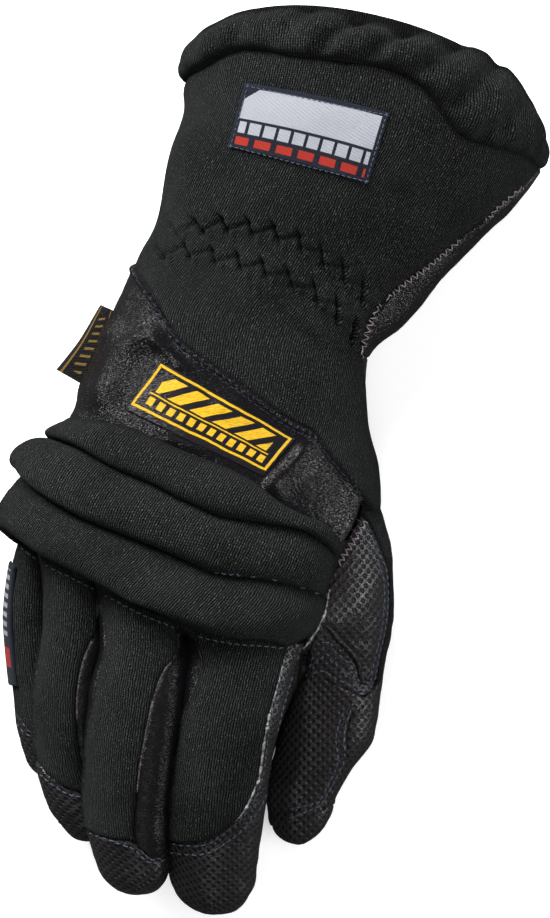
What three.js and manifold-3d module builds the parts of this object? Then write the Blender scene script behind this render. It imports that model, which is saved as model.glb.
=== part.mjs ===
// A right-hand gauntlet work glove for heat and flame, lying on its palm side: a flared cuff with a rolled hem,
// an elastic wrist, a leather back panel, three padded knuckle rolls, four fingers and a thumb.
// Units are millimetres. +Z is up, +Y runs from the fingers to the cuff, and the thumb is on the +X side.
// The origin is on the floor, under the middle of the glove's box.
import * as THREE from "three";
import { mergeVertices } from "three/addons/utils/BufferGeometryUtils.js";
import Module from "manifold-3d";

const wasm = await Module();
wasm.setup();

// Driving sizes
const CLOTH = 2.0; // wall of the knitted cloth
const LEATHER = 1.6; // wall of the leather
const HEM_PUFF = 3.5; // how far the rolled hem stands proud of the cuff
const HEM_EDGE = 0.3; // how far the hem's edges are drawn in at its seam
const HEM_LOBES = { count: 20, height: 1.8 }; // lobes that its elastic gathers the hem into, and their swell
const LABEL = 0.9; // thickness of a woven label
// Half of the gap between two pieces that are sewn together, on the sleeve and on a finger or the thumb.
const SLEEVE_DEGREES = 0.35;
const SLEEVE_SECTIONS = 0.025;
const FINGER_DEGREES = 1.8;
const FINGER_SECTIONS = 0.028;
const WELT_GAP = 0.06; // sections between the knitted cuff and the leather panel
const PIPING_LIFT = 0.5; // how far the strip's edge stands up at the piping
const PIPING_GAP = 0.22; // sections between the gusset and the strip below its piping
const STRIP_GAP = 2.9; // degrees between the knitted strip and the thumb's front
const HOLE_GAP = 2; // degrees between the palm's edge and the thumb
const PATCH_GAP = 0.3; // between a patch and the cloth below it
const TAG_GAP = 0.5; // between the side tag's sewn edge and the seam that it comes out of
const EDGE_PASSES = 6; // passes that find a point between slanted edges
const FLOOR_BLEND = 1.5; // height over which a wall bends into its flat resting face

// The sleeve: sections from the cuff's mouth to the finger roots. Each row is one section:
// its left and right edge points, how far it rises above and drops below the line between them,
// how far its top leans towards the cuff, and the power of its round (1 is an ellipse, less is squarer).
const SLEEVE = [
  { left: [-34, 139, 38], right: [94, 107.5, 38], up: 36, down: 43, lean: 34, round: 0.95 },
  { left: [-33, 132, 38], right: [91.5, 102.5, 38], up: 38, down: 43, lean: 19, round: 0.95 },
  { left: [-32, 119.5, 38], right: [80.5, 88.5, 38], up: 37, down: 43, lean: 11, round: 0.95 },
  { left: [-37.5, 100.5, 36], right: [67.5, 75, 36], up: 34, down: 41, lean: 8, round: 0.95 },
  { left: [-41.5, 83, 33], right: [54.5, 60.5, 33], up: 31, down: 36, lean: 6, round: 0.9 },
  { left: [-48.5, 70.5, 31], right: [42.5, 46.5, 31], up: 29, down: 32, lean: 4, round: 0.9 },
  { left: [-55.5, 55, 30], right: [31.5, 35.5, 31], up: 29, down: 30, lean: 2, round: 0.9 },
  { left: [-61.5, 35, 27], right: [32, 14.5, 31], up: 33, down: 28, lean: 0, round: 0.9 },
  { left: [-73, 13.5, 21], right: [34.5, -3.5, 32], up: 38, down: 25, lean: 0, round: 0.9 },
  { left: [-84.5, -1.5, 18], right: [33.5, -21, 35], up: 40, down: 22, lean: 0, round: 0.9 },
  { left: [-88, -12, 16], right: [30, -36, 39], up: 40, down: 17, lean: -1, round: 0.93 },
  { left: [-89, -19, 15], right: [25, -49, 44], up: 38, down: 12, lean: -2, round: 0.96 },
  { left: [-89.5, -24.5, 14], right: [18.5, -60.5, 49], up: 37.5, down: 12, lean: -3, round: 1 },
  { left: [-91, -29, 14], right: [12, -69, 53], up: 35.5, down: 10.5, lean: -3, round: 1 },
];
// The seam between the hem and the cuff, round the mouth: the hem is broadest at the thumb's side.
const HEM_SEAM = [
  { degrees: 0, section: 1 },
  { degrees: 22, section: 0.94 },
  { degrees: 47, section: 0.76 },
  { degrees: 68, section: 0.89 },
  { degrees: 94, section: 0.78 },
  { degrees: 108, section: 0.95 },
  { degrees: 128, section: 1.45 },
  { degrees: 142, section: 1.35 },
  { degrees: 161, section: 1.08 },
  { degrees: 185, section: 1 },
];
const WRIST = 6; // section at the wrist
const MOUTH = 13; // section where the fingers begin
const LAST_SPACING = 8; // millimetres between the sleeve's last two sections

// The thumb: its sections from the hole in the sleeve to the start of its rounded tip, with the same columns.
const THUMB = [
  { left: [13, -68, 50], right: [35, -12, 32], up: 13, down: 20, lean: 0, round: 1 },
  { left: [11.5, -72, 43], right: [41, -34.5, 28], up: 14, down: 20, lean: 0, round: 1 },
  { left: [8, -80.5, 34], right: [41.5, -53.5, 24], up: 14, down: 20, lean: 0, round: 1 },
  { left: [4, -89.5, 26], right: [39, -70, 21], up: 14, down: 18, lean: 0, round: 1 },
  { left: [1, -98, 21], right: [37, -86, 18.5], up: 14, down: 16, lean: 0, round: 1 },
  { left: [-1.5, -108.5, 17.5], right: [34.5, -98.5, 16.5], up: 14, down: 15, lean: 0, round: 1 },
  { left: [-3, -117, 15.5], right: [27, -109, 15], up: 13, down: 14, lean: 0, round: 1 },
  { left: [-2, -124.5, 13], right: [21.5, -119.5, 13], up: 11, down: 12, lean: 0, round: 1 },
];
const THUMB_CAP = 12.5; // length of the thumb's rounded tip
// The thumb's hole in the sleeve: its middle, half its length, and how far it opens above and below.
const THUMB_HOLE = { section: 10.4, sections: 2.35, degrees: 182, above: 28, below: 32 };

// The fingers: where each one's mouth begins and ends on the sleeve's last section, in degrees, the length of
// its rounded tip, and its sections: the middle, half the width, half the thickness, and how far its back is
// turned to the left, in degrees.
const DIGITS = {
  index: {
    mouth: [101.4, 170],
    cap: 15.5,
    rows: [
      { at: [-10, -62, 53.2], half: 18, thick: 13.6, turn: 8 },
      { at: [-12.5, -75.5, 54.6], half: 18, thick: 14, turn: 8 },
      { at: [-16, -90, 54], half: 17.5, thick: 14, turn: 8 },
      { at: [-19, -108.5, 48], half: 17.3, thick: 14, turn: 8 },
      { at: [-21, -129.5, 39], half: 16.2, thick: 13, turn: 8 },
      { at: [-21.5, -144.5, 31], half: 14.6, thick: 12, turn: 8 },
    ],
  },
  middle: {
    mouth: [68.5, 101.4],
    cap: 14.5,
    rows: [
      { at: [-43.5, -54, 51], half: 15, thick: 13, turn: 32 },
      { at: [-46, -69, 52], half: 15.6, thick: 13, turn: 32 },
      { at: [-49.2, -86, 52], half: 15.9, thick: 12, turn: 32 },
      { at: [-51.8, -105, 48], half: 15.8, thick: 11.2, turn: 32 },
      { at: [-52.5, -124.5, 41], half: 14.9, thick: 10.6, turn: 32 },
      { at: [-50, -138.5, 34.5], half: 13, thick: 10.2, turn: 32 },
    ],
  },
  ring: {
    mouth: [39, 68.5],
    cap: 11.5,
    rows: [
      { at: [-67, -46, 37], half: 12.5, thick: 10.5, turn: 48 },
      { at: [-70.5, -64, 36], half: 12.5, thick: 10.2, turn: 48 },
      { at: [-73.5, -82.5, 33], half: 12.4, thick: 9.5, turn: 48 },
      { at: [-75, -100, 28.5], half: 12, thick: 9, turn: 44 },
      { at: [-73.5, -115.5, 24.5], half: 11.4, thick: 8.8, turn: 38 },
      { at: [-69.5, -124.5, 21.5], half: 10.4, thick: 8.5, turn: 35 },
    ],
  },
  pinky: {
    mouth: [2, 39],
    cap: 9.5,
    rows: [
      { at: [-81.5, -38, 20], half: 10.5, thick: 9.5, turn: 58 },
      { at: [-83.5, -57, 13.5], half: 10.8, thick: 9.5, turn: 58 },
      { at: [-84, -76, 10.3], half: 10.6, thick: 9.2, turn: 58 },
      { at: [-82.5, -92.5, 9.3], half: 10, thick: 8.4, turn: 58 },
      { at: [-80.5, -103, 8.3], half: 8.8, thick: 7.8, turn: 58 },
    ],
  },
};
const MOUTH_FILL = 0.98; // share of its strip of the mouth that a finger fills
const MOUTH_TUCK = 3.8; // how far a finger's or the thumb's rim sits inside the sleeve's skin
const MOUTH_SQUARE = 0.6; // power of the round of a finger's rim, squarer than the finger
const RIM_SHRINK = 0.9; // size of the thumb's rim against the hole that it passes through

// The seams that run across the back of the hand, as sections of the sleeve at these degrees: the slanted seam
// between the cuff and the leather, the leather's lower seam, the creases between the rolls, and the mouth.
const BACK_SEAMS = [
  { degrees: -15, cuff: 5.0, leather: 7.95, crease: 8.55, lowCrease: 9.75, mouth: 12.95 },
  { degrees: 10, cuff: 5.1, leather: 7.95, crease: 8.55, lowCrease: 9.8, mouth: 12.95 },
  { degrees: 30, cuff: 5.5, leather: 7.95, crease: 8.6, lowCrease: 9.95, mouth: 13 },
  { degrees: 50, cuff: 5.95, leather: 7.95, crease: 8.78, lowCrease: 10.3, mouth: 13 },
  { degrees: 70, cuff: 6.5, leather: 8.1, crease: 9.02, lowCrease: 10.6, mouth: 13.05 },
  { degrees: 90, cuff: 6.82, leather: 8.34, crease: 9.36, lowCrease: 10.87, mouth: 13.15 },
  { degrees: 110, cuff: 7.19, leather: 8.69, crease: 9.57, lowCrease: 11.15, mouth: 13.2 },
  { degrees: 130, cuff: 7.52, leather: 9.15, crease: 9.6, lowCrease: 11.05, mouth: 13.1 },
  { degrees: 150, cuff: 8.15, leather: 9.5, crease: 9.86, lowCrease: 11.05, mouth: 13 },
  { degrees: 165, cuff: 8.68, leather: 9.75, crease: 9.97, lowCrease: 11.05, mouth: 12.9 },
];

// The seam between the knitted cuff and the leather of the palm side, down the right of the gauntlet and hand.
const SIDE_SEAM = [
  { section: 1.0, degrees: 181 },
  { section: 2.6, degrees: 166 },
  { section: 3.7, degrees: 155 },
  { section: 4.4, degrees: 145 },
  { section: 5.1, degrees: 143 },
  { section: 5.9, degrees: 161 },
  { section: 6.2, degrees: 174 },
  { section: 6.7, degrees: 190 },
  { section: 8.2, degrees: 197 },
  { section: 8.3, degrees: 176 },
  { section: 8.5, degrees: 169 },
  { section: 8.8, degrees: 166 },
];
const LEFT_SEAM = -15; // degrees of the seam between the back and the palm at the left
const CUFF_TIP = 8.66; // section where the knitted cuff runs out, at the top of the thumb's hole
const HOLE_TOP = 8.2; // section from which the palm's edge follows the thumb's hole
const PALM_EDGE = 197; // degrees of the palm's edge beside the hole

// The seams of each finger, as degrees at these sections: the left and right edges of the knitted back, and
// where the leather side strips end against the front.
const FINGER_SEAMS = {
  index: [
    { section: 0, left: 40, right: 130, leftFork: -24 },
    { section: 0.6, left: 36, right: 142, leftFork: -24 },
    { section: 1.8, left: 30, right: 144, leftFork: -24 },
    { section: 2.8, left: 22, right: 146, leftFork: -24 },
    { section: 3.4, left: 14, right: 127, leftFork: -24 },
    { section: 3.9, left: 10, right: 90, leftFork: -24 },
    { section: 4.2, left: 9, right: 60, leftFork: -24 },
  ],
  middle: [
    { section: 0, left: 42, right: 178, leftFork: -14, rightFork: 232 },
    { section: 1, left: 36, right: 174, leftFork: -14, rightFork: 232 },
    { section: 1.55, left: 30, right: 163, leftFork: -14, rightFork: 232 },
    { section: 2.4, left: 28, right: 144, leftFork: -14, rightFork: 232 },
    { section: 3.3, left: 27, right: 138, leftFork: -14, rightFork: 228 },
    { section: 4.3, left: 26, right: 131, leftFork: -14, rightFork: 222 },
  ],
  ring: [
    { section: 0, left: 48, right: 182, leftFork: 0, rightFork: 250 },
    { section: 1.8, left: 46, right: 180, leftFork: 0, rightFork: 250 },
    { section: 2.8, left: 44, right: 172, leftFork: 0, rightFork: 250 },
    { section: 4.1, left: 42, right: 162, leftFork: 0, rightFork: 246 },
  ],
  pinky: [
    { section: 0, left: 25, right: 184, rightFork: 250 },
    { section: 1.3, left: 25, right: 182, rightFork: 250 },
    { section: 3.5, left: 25, right: 178, rightFork: 250 },
  ],
};
// The seam where each fingertip's leather begins, as sections at these degrees.
const TIP_SEAMS = {
  index: [
    { degrees: 9, section: 4.2 },
    { degrees: 60, section: 4.0 },
    { degrees: 90, section: 3.85 },
    { degrees: 127, section: 3.4 },
    { degrees: 147, section: 2.85 },
    { degrees: 210, section: 3.0 },
    { degrees: 290, section: 3.6 },
    { degrees: 369, section: 4.2 },
  ],
  middle: [
    { degrees: 26, section: 4.2 },
    { degrees: 131, section: 4.26 },
    { degrees: 240, section: 4.3 },
    { degrees: 386, section: 4.2 },
  ],
  ring: [
    { degrees: 42, section: 3.3 },
    { degrees: 86, section: 3.5 },
    { degrees: 127, section: 3.85 },
    { degrees: 170, section: 4.05 },
    { degrees: 402, section: 3.3 },
  ],
  pinky: [
    { degrees: 25, section: 2.6 },
    { degrees: 81, section: 2.8 },
    { degrees: 117, section: 3.15 },
    { degrees: 178, section: 3.4 },
    { degrees: 385, section: 2.6 },
  ],
};

// The thumb's seams that run across it, as sections at these degrees: the piping below the gusset, the double
// stitches below the saddle, and the tip's seam.
const THUMB_RINGS = [
  { degrees: -22, piping: 0.6, saddle: 1.25, tip: 7.2 },
  { degrees: 30, piping: 0.75, saddle: 1.65, tip: 7.25 },
  { degrees: 60, piping: 1.1, saddle: 2.25, tip: 7.25 },
  { degrees: 88, piping: 2.1, saddle: 2.85, tip: 7.2 },
  { degrees: 112, piping: 3.0, saddle: 3.4, tip: 7.15 },
  { degrees: 130, piping: 3.4, saddle: 3.7, tip: 7.1 },
];
// The thumb's seams that run along it, as degrees at these sections: between gusset or back and the outer
// side, and between the knitted strip and the palm side.
const THUMB_SIDES = [
  { section: 0, back: 136, outer: 190 },
  { section: 1.9, back: 134, outer: 190 },
  { section: 2.8, back: 138, outer: 186 },
  { section: 3.5, back: 139, outer: 152 },
  { section: 3.75, back: 114, outer: 116 },
  { section: 4.4, back: 113, outer: 113 },
  { section: 6.1, back: 137, outer: 137 },
  { section: 7.1, back: 129, outer: 129 },
];
const STRIP_END = 3.5; // section of the thumb where the knitted strip ends
const THUMB_RIGHT = 135; // degrees of the seam between the thumb's back and front, at its tip
const THUMB_FRONT_END = 7.1; // section where the thumb's front ends
const THUMB_LEFT = -22; // degrees of the seam between the thumb's back and front, beside the index finger

// Patches sewn on the surface: degrees and sections at their corners, from the upper left one clockwise.
const CUFF_LABEL = { corners: [[48, 1.5], [98, 1.54], [103, 2.76], [48, 2.65]] };
const BADGE = { corners: [[60, 6.82], [119, 7.65], [110, 8.49], [51, 7.69]] };
const PINKY_LABEL = { from: 60, to: 100, start: 0.35, end: 2.4 };
const SIDE_TAG = { start: 6.05, end: 7.5, out: [4, 9.5], rise: [2, 6], drop: 1.5, thickness: 1.4 };

const ROLL_HEIGHT = 8; // how far a knuckle roll stands out at its middle
const SHIRR_DEPTH = 1.6; // depth of the groove of each elastic row at the wrist
const SHIRR_WIDTH = 0.22; // half its width, in sections
const SHIRR_ROWS = [4.05, 4.75]; // sections of the two rows, at the left
const SHIRR_SLANT = 0.5; // how many sections lower they are at the right

const vec = (x, y, z) => new THREE.Vector3(x, y, z);
const radians = THREE.MathUtils.degToRad;
const clamp = THREE.MathUtils.clamp;
const UP = vec(0, 0, 1);

// One number or list between two rows of a table, on the Catmull-Rom curve through its column.
function curveThrough(before, from, to, after, t) {
  if (Array.isArray(from)) return from.map((_, k) => curveThrough(before[k], from[k], to[k], after[k], t));
  const slope = (to - before) / 2;
  const nextSlope = (after - from) / 2;
  const square = t * t;
  const cube = square * t;
  return (
    (2 * cube - 3 * square + 1) * from +
    (cube - 2 * square + t) * slope +
    (3 * square - 2 * cube) * to +
    (cube - square) * nextSlope
  );
}

// The row of a table at a section number that need not be whole.
function rowAt(table, section) {
  const last = table.length - 1;
  const index = clamp(Math.floor(section), 0, last - 1);
  const row = (k) => table[clamp(k, 0, last)];
  const made = {};
  for (const column of Object.keys(table[0])) {
    made[column] = curveThrough(
      row(index - 1)[column],
      row(index)[column],
      row(index + 1)[column],
      row(index + 2)[column],
      section - index,
    );
  }
  return made;
}

// A soft wall lies flat where it rests: heights under the floor become 0, with a short bend above it.
function restOnFloor(height) {
  if (height > FLOOR_BLEND) return height;
  if (height < -FLOOR_BLEND) return 0;
  return (height + FLOOR_BLEND) ** 2 / (4 * FLOOR_BLEND);
}

const powered = (value, power) => Math.sign(value) * Math.abs(value) ** power;

// A point on one section of a table with left and right edges. Degrees run 0 at the left edge, 90 on top,
// 180 at the right edge and 270 below.
function sectionPoint(row, degrees, shrink = 1) {
  const angle = radians(degrees);
  const across = -powered(Math.cos(angle), row.round) * shrink;
  const rise = powered(Math.sin(angle), row.round) * shrink;
  const left = vec(...row.left);
  const right = vec(...row.right);
  const half = right.clone().sub(left).multiplyScalar(0.5);
  const line = half.clone().normalize();
  const normal = UP.clone().addScaledVector(line, -line.z).normalize();
  const point = left.add(right).multiplyScalar(0.5).addScaledVector(half, across);
  point.addScaledVector(normal, rise > 0 ? row.up * rise : row.down * rise);
  return point.addScaledVector(UP.clone().cross(line).setZ(0).normalize(), row.lean * Math.max(rise, 0));
}

// A point of the sleeve's outside.
function sleevePoint(degrees, section) {
  const point = sectionPoint(rowAt(SLEEVE, section), degrees);
  point.z = restOnFloor(point.z);
  return point;
}

// Between a rim at section 0 and a table's own shape from section 1 on.
const blended = (rim, own, section) => rim.lerp(own, THREE.MathUtils.smoothstep(section, 0, 1));

// A point of the thumb's outside. Its rim lies in the hole in the sleeve, its left edge at the hole's far end.
function thumbPoint(degrees, section) {
  const last = THUMB.length - 1;
  const row = rowAt(THUMB, Math.min(section, last));
  const tip = radians(90 * clamp(section - last, 0, 1));
  const point = sectionPoint(row, degrees, Math.cos(tip));
  const line = vec(...row.right).sub(vec(...row.left)).normalize();
  point.addScaledVector(line.cross(UP).normalize(), THUMB_CAP * Math.sin(tip));
  if (section < 1) {
    const hole = THUMB_HOLE;
    const around = radians(degrees);
    const wide = Math.sin(around) > 0 ? hole.above : hole.below;
    const rimDegrees = hole.degrees - wide * RIM_SHRINK * Math.sin(around);
    const rimSection = hole.section + hole.sections * RIM_SHRINK * Math.cos(around);
    const rim = sleevePoint(rimDegrees, rimSection);
    rim.addScaledVector(outward(sleevePoint, rimDegrees, rimSection), -MOUTH_TUCK);
    blended(rim, point.clone(), section);
    point.copy(rim);
  }
  point.z = restOnFloor(point.z);
  return point;
}

// A point of a finger's outside. Its rim is a strip of the sleeve's mouth, tucked inside the sleeve.
function digitPoint(name, degrees, section) {
  const { rows, cap, mouth } = DIGITS[name];
  const last = rows.length - 1;
  const row = rowAt(rows, Math.min(section, last));
  const ahead = rowAt(rows, Math.min(section, last) - 0.01);
  const forward = vec(...row.at).sub(vec(...ahead.at)).normalize();
  const side = UP.clone().cross(forward).normalize();
  const top = forward.clone().cross(side);
  const turn = radians(row.turn);
  const line = side.clone().multiplyScalar(Math.cos(turn)).addScaledVector(top, Math.sin(turn));
  const back = top.clone().multiplyScalar(Math.cos(turn)).addScaledVector(side, -Math.sin(turn));
  const tip = radians(90 * clamp(section - last, 0, 1));
  const angle = radians(degrees);
  const point = vec(...row.at);
  point.addScaledVector(line, -Math.cos(angle) * row.half * Math.cos(tip));
  point.addScaledVector(back, Math.sin(angle) * row.thick * Math.cos(tip));
  point.addScaledVector(forward, cap * Math.sin(tip));
  if (section < 1) {
    const over = mouth[0] + ((mouth[1] - mouth[0]) * (1 - MOUTH_FILL * Math.cos(angle))) / 2;
    const tuckSection = MOUTH - MOUTH_TUCK / LAST_SPACING;
    const onTop = sleevePoint(over, tuckSection);
    onTop.addScaledVector(outward(sleevePoint, over, tuckSection), -MOUTH_TUCK);
    const below = sleevePoint(-over, tuckSection);
    below.addScaledVector(outward(sleevePoint, -over, tuckSection), -MOUTH_TUCK);
    const rim = below.lerp(onTop, (1 + powered(Math.sin(angle), MOUTH_SQUARE)) / 2);
    point.copy(blended(rim, point.clone(), section));
  }
  point.z = restOnFloor(point.z);
  return point;
}

// The outward direction of a surface that is a function of degrees and section.
function outward(surface, degrees, section) {
  const [turn, step] = [1, 0.02];
  const around = surface(degrees + turn, section).sub(surface(degrees - turn, section));
  const onward = surface(degrees, section + step).sub(surface(degrees, section - step));
  return onward.cross(around).normalize();
}

// A closed solid between two grids of points, outer and inner, each a list of rows. A ring's rows close on
// themselves. Where a row shrinks to one point, as at a fingertip, its flat triangles fall out in the merge.
function solidBetween(outer, inner, isRing) {
  const rows = outer.length;
  const columns = outer[0].length;
  const points = [];
  for (const grid of [outer, inner]) for (const row of grid) for (const p of row) points.push(p.x, p.y, p.z);
  const at = (layer, r, c) => layer * rows * columns + r * columns + (isRing ? c % columns : c);
  const triangles = [];
  const quad = (a, b, c, d) => triangles.push(a, b, c, a, c, d);
  const lastColumn = isRing ? columns : columns - 1;
  for (let r = 0; r < rows - 1; r++) {
    for (let c = 0; c < lastColumn; c++) {
      quad(at(0, r, c), at(0, r, c + 1), at(0, r + 1, c + 1), at(0, r + 1, c));
      quad(at(1, r, c), at(1, r + 1, c), at(1, r + 1, c + 1), at(1, r, c + 1));
    }
  }
  for (let c = 0; c < lastColumn; c++) {
    quad(at(0, 0, c + 1), at(0, 0, c), at(1, 0, c), at(1, 0, c + 1));
    quad(at(0, rows - 1, c), at(0, rows - 1, c + 1), at(1, rows - 1, c + 1), at(1, rows - 1, c));
  }
  if (!isRing) {
    for (let r = 0; r < rows - 1; r++) {
      quad(at(0, r, 0), at(0, r + 1, 0), at(1, r + 1, 0), at(1, r, 0));
      quad(at(0, r + 1, columns - 1), at(0, r, columns - 1), at(1, r, columns - 1), at(1, r + 1, columns - 1));
    }
  }
  const geometry = new THREE.BufferGeometry();
  geometry.setAttribute("position", new THREE.Float32BufferAttribute(points, 3));
  geometry.setIndex(triangles);
  return manifoldOf(geometry);
}

// A three.js geometry as a manifold-3d solid, with shared vertices merged, flat triangles dropped and its
// faces turned outwards.
function manifoldOf(geometry) {
  const merged = mergeVertices(geometry, 1e-3);
  const index = merged.index.array;
  const kept = [];
  for (let i = 0; i < index.length; i += 3) {
    const [a, b, c] = [index[i], index[i + 1], index[i + 2]];
    if (a !== b && b !== c && c !== a) kept.push(a, b, c);
  }
  const made = () => {
    const vertProperties = merged.attributes.position.array;
    return new wasm.Manifold(new wasm.Mesh({ numProp: 3, vertProperties, triVerts: new Uint32Array(kept) }));
  };
  const solid = made();
  if (solid.volume() > 0) return solid;
  for (let i = 0; i < kept.length; i += 3) [kept[i + 1], kept[i + 2]] = [kept[i + 2], kept[i + 1]];
  return made();
}

// A panel: the part of a surface between two edges in degrees and two in sections, with a wall of its own.
// Each edge is a number or a function of the other measure, so a point is found in a few passes. Proud is how
// far the outside stands above the surface, as a number or a function.
function panel(surface, { from, to, start, end, columns, rows, proud = 0, wall, isRing = false }) {
  const value = (edge, other) => (typeof edge === "function" ? edge(other) : edge);
  const outer = [];
  const inner = [];
  const top = 90;
  const middle = (value(start, top) + value(end, top)) / 2;
  for (let r = 0; r < rows; r++) {
    const down = r / (rows - 1);
    const outerRow = [];
    const innerRow = [];
    for (let c = 0; c < columns; c++) {
      const over = isRing ? c / columns : c / (columns - 1);
      let section = middle;
      let degrees = top;
      for (let pass = 0; pass < EDGE_PASSES; pass++) {
        degrees = value(from, section) + (value(to, section) - value(from, section)) * over;
        section = value(start, degrees) + (value(end, degrees) - value(start, degrees)) * down;
      }
      const normal = outward(surface, degrees, section);
      const point = surface(degrees, section);
      const lift = typeof proud === "function" ? proud(over, down, degrees, section) : proud;
      const outside = point.clone().addScaledVector(normal, lift);
      outside.z = Math.max(outside.z, 0);
      outerRow.push(outside);
      innerRow.push(point.clone().addScaledVector(normal, -wall));
    }
    outer.push(outerRow);
    inner.push(innerRow);
  }
  return solidBetween(outer, inner, isRing);
}

// A function through a table: the value of one column at a value of another, straight between the rows.
function along(table, from, to) {
  return (x) => {
    let k = 0;
    while (k < table.length - 2 && x > table[k + 1][from]) k++;
    const [a, b] = [table[k], table[k + 1]];
    return a[to] + (b[to] - a[to]) * clamp((x - a[from]) / (b[from] - a[from]), 0, 1);
  };
}
const moved = (edge, by) => (x) => edge(x) + by;

// Degrees of the edge of the thumb's hole at a section of the sleeve, above (towards the back) or below.
function holeEdge(section, side) {
  const hole = THUMB_HOLE;
  const place = clamp((section - hole.section) / hole.sections, -1, 1);
  return hole.degrees + (side === "above" ? -hole.above : hole.below) * Math.sqrt(1 - place * place);
}

const finger = (name) => (degrees, section) => digitPoint(name, degrees, section);

const glove = new THREE.Group();

// Adds one solid to the glove as a named node.
function addNode(name, solid, colour, roughness) {
  const mesh = solid.getMesh();
  const geometry = new THREE.BufferGeometry();
  geometry.setAttribute("position", new THREE.BufferAttribute(mesh.vertProperties, 3));
  geometry.setIndex(new THREE.BufferAttribute(mesh.triVerts, 1));
  const node = new THREE.Mesh(geometry, new THREE.MeshStandardMaterial({ color: colour, roughness }));
  node.name = name;
  glove.add(node);
}
const KNIT = [0x2a302e, 0.9];
const HIDE = [0x252126, 0.45];
const WOVEN = [0xdfe2e8, 0.8];

// Sleeve pieces
const seamAt = (column) => along(BACK_SEAMS, "degrees", column);
const sideSeam = along(SIDE_SEAM, "section", "degrees");
const hemSeam = along(HEM_SEAM, "degrees", "section");
const cuffEdge = along(BACK_SEAMS, "cuff", "degrees");
const rightOfBack = (section) => holeEdge(section, "above") - 3 * SLEEVE_DEGREES;
const palmEdge = (section) => (section < HOLE_TOP ? sideSeam(section) : PALM_EDGE);

// The hem swells between its two edges, and more at each lobe.
function hemPuff(over, down) {
  const swell = Math.sin(Math.PI * clamp(down, 0, 1)) ** 0.6;
  const lobe = Math.cos(2 * Math.PI * HEM_LOBES.count * over);
  return (HEM_PUFF + HEM_LOBES.height * lobe) * swell - HEM_EDGE;
}
addNode(
  "cuff_hem",
  panel(sleevePoint, {
    from: 0,
    to: 360,
    start: 0,
    end: moved(hemSeam, -SLEEVE_SECTIONS),
    columns: 3 * HEM_LOBES.count,
    rows: 6,
    proud: hemPuff,
    wall: CLOTH + 1,
    isRing: true,
  }),
  ...KNIT,
);

function shirring(over, down, degrees, section) {
  const slant = SHIRR_SLANT * clamp((degrees - 50) / 80, 0, 1);
  let depth = 0;
  for (const row of SHIRR_ROWS) depth += Math.exp(-(((section - row - slant) / SHIRR_WIDTH) ** 2));
  return -SHIRR_DEPTH * depth * clamp((degrees - LEFT_SEAM) / 20, 0, 1);
}
addNode(
  "gauntlet_back",
  panel(sleevePoint, {
    from: (section) => (section < BACK_SEAMS[0].cuff ? LEFT_SEAM : cuffEdge(section) + SLEEVE_DEGREES),
    to: (section) => sideSeam(section) - SLEEVE_DEGREES,
    start: moved(hemSeam, SLEEVE_SECTIONS),
    end: CUFF_TIP,
    columns: 13,
    rows: 27,
    proud: shirring,
    wall: CLOTH,
  }),
  ...KNIT,
);
addNode(
  "gauntlet_palm",
  panel(sleevePoint, {
    from: (section) => sideSeam(section) + 2 * SLEEVE_DEGREES,
    to: 360 + LEFT_SEAM - 2 * SLEEVE_DEGREES,
    start: moved(hemSeam, SLEEVE_SECTIONS),
    end: WRIST - SLEEVE_SECTIONS,
    columns: 12,
    rows: 6,
    wall: LEATHER,
  }),
  ...HIDE,
);
addNode(
  "palm",
  panel(sleevePoint, {
    from: (section) => Math.max(palmEdge(section), holeEdge(section, "below")) + HOLE_GAP,
    to: 360 + LEFT_SEAM - 4 * SLEEVE_DEGREES,
    start: WRIST + SLEEVE_SECTIONS,
    end: MOUTH - 0.05,
    columns: 10,
    rows: 9,
    wall: LEATHER,
  }),
  ...HIDE,
);
addNode(
  "back_panel",
  panel(sleevePoint, {
    from: LEFT_SEAM,
    to: (section) => rightOfBack(section),
    start: moved(seamAt("cuff"), WELT_GAP),
    end: moved(seamAt("leather"), -SLEEVE_SECTIONS),
    columns: 12,
    rows: 7,
    wall: LEATHER,
  }),
  ...HIDE,
);
const ROLLS = [
  ["roll_upper", "leather", "crease"],
  ["roll_middle", "crease", "lowCrease"],
  ["roll_lower", "lowCrease", "mouth"],
];
for (const [name, above, below] of ROLLS) {
  addNode(
    name,
    panel(sleevePoint, {
      from: LEFT_SEAM,
      to: (section) => rightOfBack(section),
      start: moved(seamAt(above), SLEEVE_SECTIONS),
      end: moved(seamAt(below), -SLEEVE_SECTIONS),
      columns: 14,
      rows: 7,
      proud: (over, down) => ROLL_HEIGHT * Math.sin(Math.PI * down) ** 0.7 * (1 - over ** 4),
      wall: CLOTH,
    }),
    ...KNIT,
  );
}

// Patches on the sleeve: a grid between four corners, lifted off the cloth.
function patch({ corners }) {
  const over = (a, b, t) => a.map((value, k) => value + (b[k] - value) * t);
  const surface = (u, v) => {
    const [degrees, section] = over(over(corners[0], corners[1], u), over(corners[3], corners[2], u), v);
    return sleevePoint(degrees, section).addScaledVector(outward(sleevePoint, degrees, section), PATCH_GAP);
  };
  return surface;
}
function patchSolid(surface, columns, rows, thickness) {
  const outer = [];
  const inner = [];
  for (let r = 0; r < rows; r++) {
    const outerRow = [];
    const innerRow = [];
    for (let c = 0; c < columns; c++) {
      const [u, v] = [c / (columns - 1), r / (rows - 1)];
      const step = 0.01;
      const across = surface(u + step, v).sub(surface(u - step, v));
      const down = surface(u, v + step).sub(surface(u, v - step));
      const normal = across.cross(down).normalize();
      if (normal.z < 0) normal.negate();
      innerRow.push(surface(u, v));
      outerRow.push(surface(u, v).addScaledVector(normal, thickness));
    }
    outer.push(outerRow);
    inner.push(innerRow);
  }
  return solidBetween(outer, inner, false);
}
addNode("cuff_label", patchSolid(patch(CUFF_LABEL), 6, 4, LABEL), ...WOVEN);
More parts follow.
